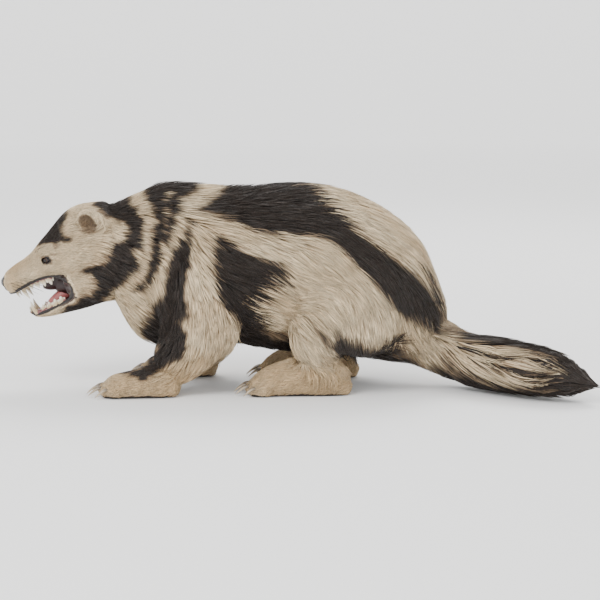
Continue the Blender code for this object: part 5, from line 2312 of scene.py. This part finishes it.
@dataclass(frozen=True)
class ToothForm:
    """One tooth in the head's axes: where it stands, from root height to tip, and its size."""

    back: float
    side: float
    root: float
    tip: float
    radius: float
    lean: float = 0.0
    long: float = 1.0

    def build(self) -> Thing:
        """A curved tapering tooth, longer fore and aft than across where long is above 1.

        Returns:
            The tooth.
        """
        stations, sides = 8, 14
        points, faces = [], wall(stations, sides)
        for i in range(stations):
            t = i / (stations - 0.6)
            height = self.root + (self.tip - self.root) * t
            curve = self.lean * t - 0.0018 * 4 * t * (1 - t) * (1 if self.long == 1.0 else 0)
            radius = self.radius * (1 - t**1.7) ** 0.75
            for k in range(sides):
                a = 2 * math.pi * k / sides
                across = self.side * (1 + 0.05 * t) + radius * math.sin(a)
                back = self.back + curve + radius * self.long * math.cos(a)
                points.append(head_point(back, across, height))
        points.append(head_point(self.back + self.lean, self.side * 1.05, self.tip))
        last = (stations - 1) * sides
        faces += [(last + k, last + (k + 1) % sides, len(points) - 1) for k in range(sides)]
        faces.append(tuple(range(sides)))
        heights = np.append(np.repeat(np.arange(stations) / stations, sides), 1.0)
        obj = mesh_object("tooth", points, faces)
        painted(obj.data, mixed(TOOTH_ROOT, TOOTH_TIP, smoothstep(0.35, 0.8, heights)))
        return obj


@dataclass(frozen=True)
class Incisors:
    """Six front teeth. Those named outer grow with the tooth's distance from the middle, counted in teeth."""

    back: float
    back_outer: float
    spacing: float
    root: float
    tip: float
    tip_outer: float
    tip_last: float
    radius: float
    radius_outer: float
    lean: float

    def forms(self) -> list[ToothForm]:
        """The six teeth.

        Returns:
            Their forms.
        """
        made = []
        for k in range(6):
            off = k - 2.5
            out = abs(off)
            tip = self.tip + self.tip_outer * out + (self.tip_last if out > 2 else 0)
            place = self.back + self.back_outer * out, off * self.spacing
            radius = self.radius + self.radius_outer * out
            made.append(ToothForm(*place, self.root, tip, radius, self.lean))
        return made


@dataclass(frozen=True)
class Teeth:
    """One jaw's teeth: six incisors, two long canines, and four cheek teeth on each side."""

    name: str
    incisors: Incisors
    canine: ToothForm
    cheek: ToothForm
    cheek_back: float = 0.0112
    cheek_out: float = 0.0028
    cheek_tip: float = 0.0

    def build(self) -> Thing:
        """The teeth as one piece.

        Returns:
            The piece.
        """
        forms = self.incisors.forms()
        for side in Side:
            forms.append(replace(self.canine, side=side.value * self.canine.side))
            for k in range(4):
                forms += self.cheek_tooth(side, k)
        return joined(self.name, [form.build() for form in forms])

    def cheek_tooth(self, side: Side, k: int) -> list[ToothForm]:
        """A cheek tooth as a main cusp with a lower one before and behind it.

        Args:
            side: the side of the animal.
            k: its number, from the front.

        Returns:
            The three cusps.
        """
        back, root = self.cheek.back + self.cheek_back * k, self.cheek.root
        out, tip = side.value * (self.cheek.side + self.cheek_out * k), self.cheek.tip + self.cheek_tip * k
        size = self.cheek.radius + 0.0005 * k
        low = root + (tip - root) * 0.72
        return [
            ToothForm(back, out, root, tip, size, 0.0, 1.35),
            ToothForm(back - size * 1.05, out, root, low, size * 0.72, 0.0, 1.1),
            ToothForm(back + size * 1.10, out, root, low, size * 0.76, 0.0, 1.1),
        ]


UPPER_TEETH = Teeth(
    "upper_teeth",
    Incisors(0.0190, 0.001, 0.0048, -0.016, -0.0285, -0.0010, -0.0040, 0.0021, 0.0003, 0.0),
    ToothForm(0.0325, 0.0190, -0.014, -0.0425, 0.0047, 0.0050),
    ToothForm(0.0475, 0.0215, -0.015, -0.0300, 0.0031),
    cheek_tip=-0.0012,
)
LOWER_TEETH = Teeth(
    "lower_teeth",
    Incisors(0.0310, 0.0008, 0.0036, -0.069, -0.0550, 0.0, 0.0, 0.0019, 0.0, -0.0040),
    ToothForm(0.0385, 0.0155, -0.070, -0.0460, 0.0042, -0.0030),
    ToothForm(0.0520, 0.0180, -0.069, -0.0580, 0.0031),
    cheek_tip=0.0008,
)


@dataclass
class Mouth:
    """The gums and tongue."""

    gum_voxel: float = 0.0009
    tongue_voxel: float = 0.0011
    upper_gum: float = 0.0052
    lower_gum: float = 0.0041

    def gums(self) -> Thing:
        """A swollen ridge along each row of teeth.

        Returns:
            Both ridges as one piece.
        """
        upper = (
            (0.0870, 0.0310, -0.0200), (0.0700, 0.0272, -0.0172), (0.0500, 0.0222, -0.0165),
            (0.0325, 0.0188, -0.0165), (0.0225, 0.0125, -0.0172), (0.0190, 0.0, -0.0178),
        )
        lower = (
            (0.0940, 0.0295, -0.0660), (0.0750, 0.0238, -0.0690), (0.0520, 0.0184, -0.0695),
            (0.0390, 0.0152, -0.0686), (0.0334, 0.0088, -0.0674), (0.0318, 0.0, -0.0665),
        )
        ridges = []
        for rows, radius in ((upper, self.upper_gum), (lower, self.lower_gum)):
            places = [head_point(b, -s, h) for b, s, h in rows]
            places += [head_point(b, s, h) for b, s, h in reversed(rows[:-1])]
            path = smooth_path(places, 150)
            radii = [radius * (1 + 0.07 * math.sin(i * 0.95)) for i in range(150)]
            ridges.append(rod(path, radii, 14))
        return named(blended(ridges, self.gum_voxel, 2), "gums")

    def tongue(self) -> Thing:
        """A broad tongue that arches up from the floor of the mouth, with a groove along it.

        Returns:
            The tongue.
        """
        rows = (
            (124, -45.5, -66.5, 11, -56), (108, -45, -67.5, 12.5, -56), (92, -46.5, -68, 15, -57),
            (78, -48.8, -69, 15, -60), (66, -53.5, -69.5, 13.5, -62.5), (56, -59.5, -69, 9.5, -64.5),
        )
        sections = Anatomy.head_sections([(*row, 0.9) for row in rows])
        body = blended([Tube(Zone.JAW, sections, 0.0).loft(40, 8)], self.tongue_voxel, 3)
        work = bmesh.new()
        work.from_mesh(body.data)
        inverse, forth = head_matrix().inverted(), head_matrix()
        for vert in work.verts:
            place = inverse @ vert.co
            top = max(0.0, min(1.0, (place.z + 0.066) / 0.012))
            place.z -= 0.0017 * top * math.exp(-((place.y / 0.0022) ** 2))
            place.z += 0.0016 * top * min(1.0, abs(place.y) / 0.012) ** 2
            vert.co = forth @ place
        work.to_mesh(body.data)
        work.free()
        return named(body, "tongue_body")


@dataclass
class Claws:
    """The long curved claws, five to a paw."""

    length: float = 0.024
    radius: float = 0.0034
    base: Row = (0.060, 0.042, 0.030)
    tip: Row = (0.420, 0.330, 0.220)

    def build(self, anatomy: Anatomy) -> list[Thing]:
        """One piece for each paw.

        Args:
            anatomy: the shapes of the feet.

        Returns:
            The pieces.
        """
        made = []
        for side in Side:
            paws = {"front_paw": anatomy.front_leg(side)[1], "hind_paw": anatomy.hind_leg(side)[1]}
            for paw, sections in paws.items():
                claws = [self.claw(place) for place in toe_places(sections[0])]
                made.append(joined(f"claws_{paw}_{side.word}", claws))
        return made

    def claw(self, place: ToePlace) -> Thing:
        """One claw, which rises from the toe and hooks down to its point.

        Args:
            place: the toe's place.

        Returns:
            The claw.
        """
        start = place.middle + place.ahead * 0.0085 + Vector((0, 0, 0.0040))
        end = place.middle + place.ahead * (0.010 + self.length) + Vector((0, 0, 0.0045 - 0.0125))
        count, points, radii = 11, [], []
        for i in range(count):
            t = i / (count - 1)
            rise = 0.0050 * 4 * t * (1 - t) * (1 - 0.25 * t)
            points.append(start.lerp(end, t) + Vector((0, 0, rise)))
            radii.append(self.radius * (1 - t**1.5) ** 0.8 + 0.00012)
        claw = rod(points, radii, 12, 0.72)
        share = np.repeat(np.arange(count) / (count - 1), 12)
        painted(claw.data, mixed(self.base, self.tip, smoothstep(0.05, 0.75, share)))
        return claw


@dataclass
class Whiskers:
    """Stiff whiskers on the lip pads and brows."""

    seed: int = 5
    colour: Row = (0.012, 0.009, 0.007)

    def build(self) -> Thing:
        """All whiskers as one piece of thin tapering rods.

        Returns:
            The piece.
        """
        rng = np.random.default_rng(self.seed)
        axes = head_matrix().to_3x3()
        made = []
        for side in Side:
            s = side.value
            for row in range(3):
                for k in range(4):
                    root = head_point(0.018 + 0.0070 * k, s * (0.0228 + 0.0016 * k), -0.0060 - 0.0050 * row)
                    lean = Vector((0.55 + 0.12 * k, s * 1.0, -0.10 - 0.16 * row + rng.normal(0, 0.05)))
                    made.append(self.one(root, axes @ lean.normalized(), 0.030 + 0.005 * k, rng))
            for k in range(3):
                root = head_point(0.078 + 0.004 * k, s * (0.036 + 0.001 * k), 0.0265)
                made.append(self.one(root, axes @ Vector((0.5, s * 0.8, 0.55)).normalized(), 0.026, rng))
        piece = joined("whiskers", made)
        painted(piece.data, np.tile(self.colour, (len(piece.data.vertices), 1)))
        return piece

    def one(self, root: Vector, ahead: Vector, length: float, rng: np.random.Generator) -> Thing:
        """One whisker that bends down and back to its tip.

        Args:
            root: where it grows.
            ahead: which way it points.
            length: its length.
            rng: the source of random values.

        Returns:
            The whisker.
        """
        length *= float(rng.uniform(0.85, 1.15))
        points, radii = [], []
        for i in range(8):
            t = i / 7
            droop = Vector((0.30, 0, -0.22)) * length * t * t
            points.append(root + ahead * (length * t - 0.002) + droop)
            radii.append(0.00034 * (1 - t) ** 0.7 + 0.00008)
        return rod(points, radii, 5)


@dataclass
class Studio:
    """The floor, the lights and the camera."""

    distance: float = 3.2
    elevation: float = math.radians(8.0)
    aim_height: float = 0.142
    field_of_view: float = 2 * math.atan(0.00165 * 300 / 3.2)
    # name, place, size and power of each lamp
    lamps: tuple[tuple[str, Row, float, float], ...] = (
        ("key", (-1.6, -2.4, 2.6), 1.8, 95.0),
        ("fill", (2.4, -2.2, 1.4), 2.4, 38.0),
        ("back", (0.6, 2.0, 2.6), 1.6, 70.0),
    )
    sky: float = 1.15
    flat: float = 7.0
    curve: float = 1.2
    wall_height: float = 2.8
    steps: int = 12
    around: int = 96

    def floor(self) -> Thing:
        """A wide round floor that curves up to a low plain wall on every side.

        Returns:
            The floor.
        """
        flat, curve, count = self.flat, self.curve, self.around
        profile = [(1.5, 0.0), (4.0, 0.0), (flat, 0.0)]
        for i in range(1, self.steps + 1):
            a = math.pi / 2 * i / self.steps
            profile.append((flat + curve * math.sin(a), curve - curve * math.cos(a)))
        profile.append((flat + curve, self.wall_height))
        points, faces = [Vector((0, 0, 0))], []
        for radius, z in profile:
            for k in range(count):
                a = 2 * math.pi * k / count
                points.append(Vector((radius * math.cos(a), radius * math.sin(a), z)))
        for k in range(count):
            after = (k + 1) % count
            faces.append((0, 1 + k, 1 + after))
            for ring in range(len(profile) - 1):
                low, high = 1 + ring * count, 1 + (ring + 1) * count
                faces.append((low + k, high + k, high + after, low + after))
        floor = mesh_object("floor", points, faces)
        for polygon in floor.data.polygons:
            polygon.use_smooth = True
        floor.data.materials.append(FloorFinish().material())
        return floor

    def lamp(self, name: str, place: Sequence[float], aim: Vector, size: float, power: float) -> None:
        """A soft square light that points at the aim.

        Args:
            name: its name.
            place: where it stands.
            aim: what it points at.
            size: the length of its side.
            power: its power in watts.
        """
        lamp = bpy.data.lights.new(name, "AREA")
        lamp.shape, lamp.size, lamp.energy = "SQUARE", size, power
        obj = bpy.data.objects.new(name, lamp)
        obj.location = place
        obj.rotation_euler = (aim - Vector(place)).to_track_quat("-Z", "Y").to_euler()
        bpy.context.scene.collection.objects.link(obj)

    def build(self, shift: Vector) -> None:
        """Sets up the floor, the lights, the sky and the camera round the model's own middle.

        Args:
            shift: how far the model is moved from the animal's own axes.
        """
        self.floor()
        aim = shift + Vector((0, 0, self.aim_height))
        for name, place, size, power in self.lamps:
            self.lamp(name, place, aim, size, power)
        world = bpy.data.worlds.new("studio_air")
        world.use_nodes = True
        background = world.node_tree.nodes["Background"]
        background.inputs["Color"].default_value = (1.0, 1.0, 1.0, 1)
        background.inputs["Strength"].default_value = self.sky
        bpy.context.scene.world = world
        camera = bpy.data.objects.new("camera", bpy.data.cameras.new("camera"))
        ahead = Vector((0, math.cos(self.elevation), -math.sin(self.elevation)))
        camera.location = aim - ahead * self.distance
        camera.rotation_euler = ahead.to_track_quat("-Z", "Y").to_euler()
        camera.data.angle = self.field_of_view
        bpy.context.scene.collection.objects.link(camera)
        bpy.context.scene.camera = camera


@dataclass
class Wolverine:
    """The whole animal: its skin and coat, its face, mouth and claws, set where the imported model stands."""

    anatomy: Anatomy = field(default_factory=Anatomy)
    markings: Markings = field(default_factory=Markings)
    tints: Tints = field(default_factory=Tints)

    def shift(self) -> Vector:
        """From the animal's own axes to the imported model's, by the middle between the eyes.

        Returns:
            The shift.
        """
        corners = [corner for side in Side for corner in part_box(f"eye_{side.word}")]
        middle = sum(corners, Vector()) / len(corners)
        return Vector((middle.x - head_point(EYE_AT[0], 0, EYE_AT[2]).x, middle.y, 0.0))

    def place(self, obj: Thing, material: bpy.types.Material, slot: str | None, *nodes: str) -> None:
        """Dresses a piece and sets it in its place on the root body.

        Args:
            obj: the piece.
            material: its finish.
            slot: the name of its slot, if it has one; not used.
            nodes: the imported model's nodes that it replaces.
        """
        obj.data.materials.clear()
        obj.data.materials.append(material)
        for polygon in obj.data.polygons:
            polygon.use_smooth = True
        obj.data.transform(Matrix.Translation(self.shift()))
        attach(obj, "root")
        if nodes:
            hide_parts(*nodes)
        LOG.info("%s: %d faces", obj.name, len(obj.data.polygons))

    def build(self) -> None:
        """Builds every piece in order."""
        skin = Skin(self.anatomy, self.markings, self.tints)
        skin.build()
        skin.paint()
        coat = Coat(skin, self.tints, density=1.0)
        fur, enamel, eye, horn = (finish.material() for finish in (FUR, ENAMEL, EYE, HORN))
        for piece in coat.build():
            self.place(piece, fur, "dark_coat" if "dark" in piece.name else "pale_coat")
        self.place(skin.obj, SKIN.material(), "pale_coat", *BODY_NODES)
        for side, ball in Eyes().build():
            self.place(ball, eye, "eye", f"eye_{side.word}")
        self.place(NosePad().build(), NOSE_LEATHER.material(), "nose_skin", "nose")
        mouth = Mouth()
        self.place(mouth.tongue(), TONGUE_FLESH.material(), "tongue", "tongue")
        self.place(mouth.gums(), GUM_FLESH.material(), None)
        for teeth in (UPPER_TEETH, LOWER_TEETH):
            self.place(teeth.build(), enamel, None)
        for claws in Claws().build(self.anatomy):
            self.place(claws, horn, None)
        self.place(Whiskers().build(), fur, None)


def main() -> None:
    """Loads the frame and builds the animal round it."""
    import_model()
    animal = Wolverine()
    Studio().build(animal.shift())
    animal.build()


if __name__ == "__main__":
    logging.basicConfig(level=logging.INFO, format="%(name)s: %(message)s")
    main()
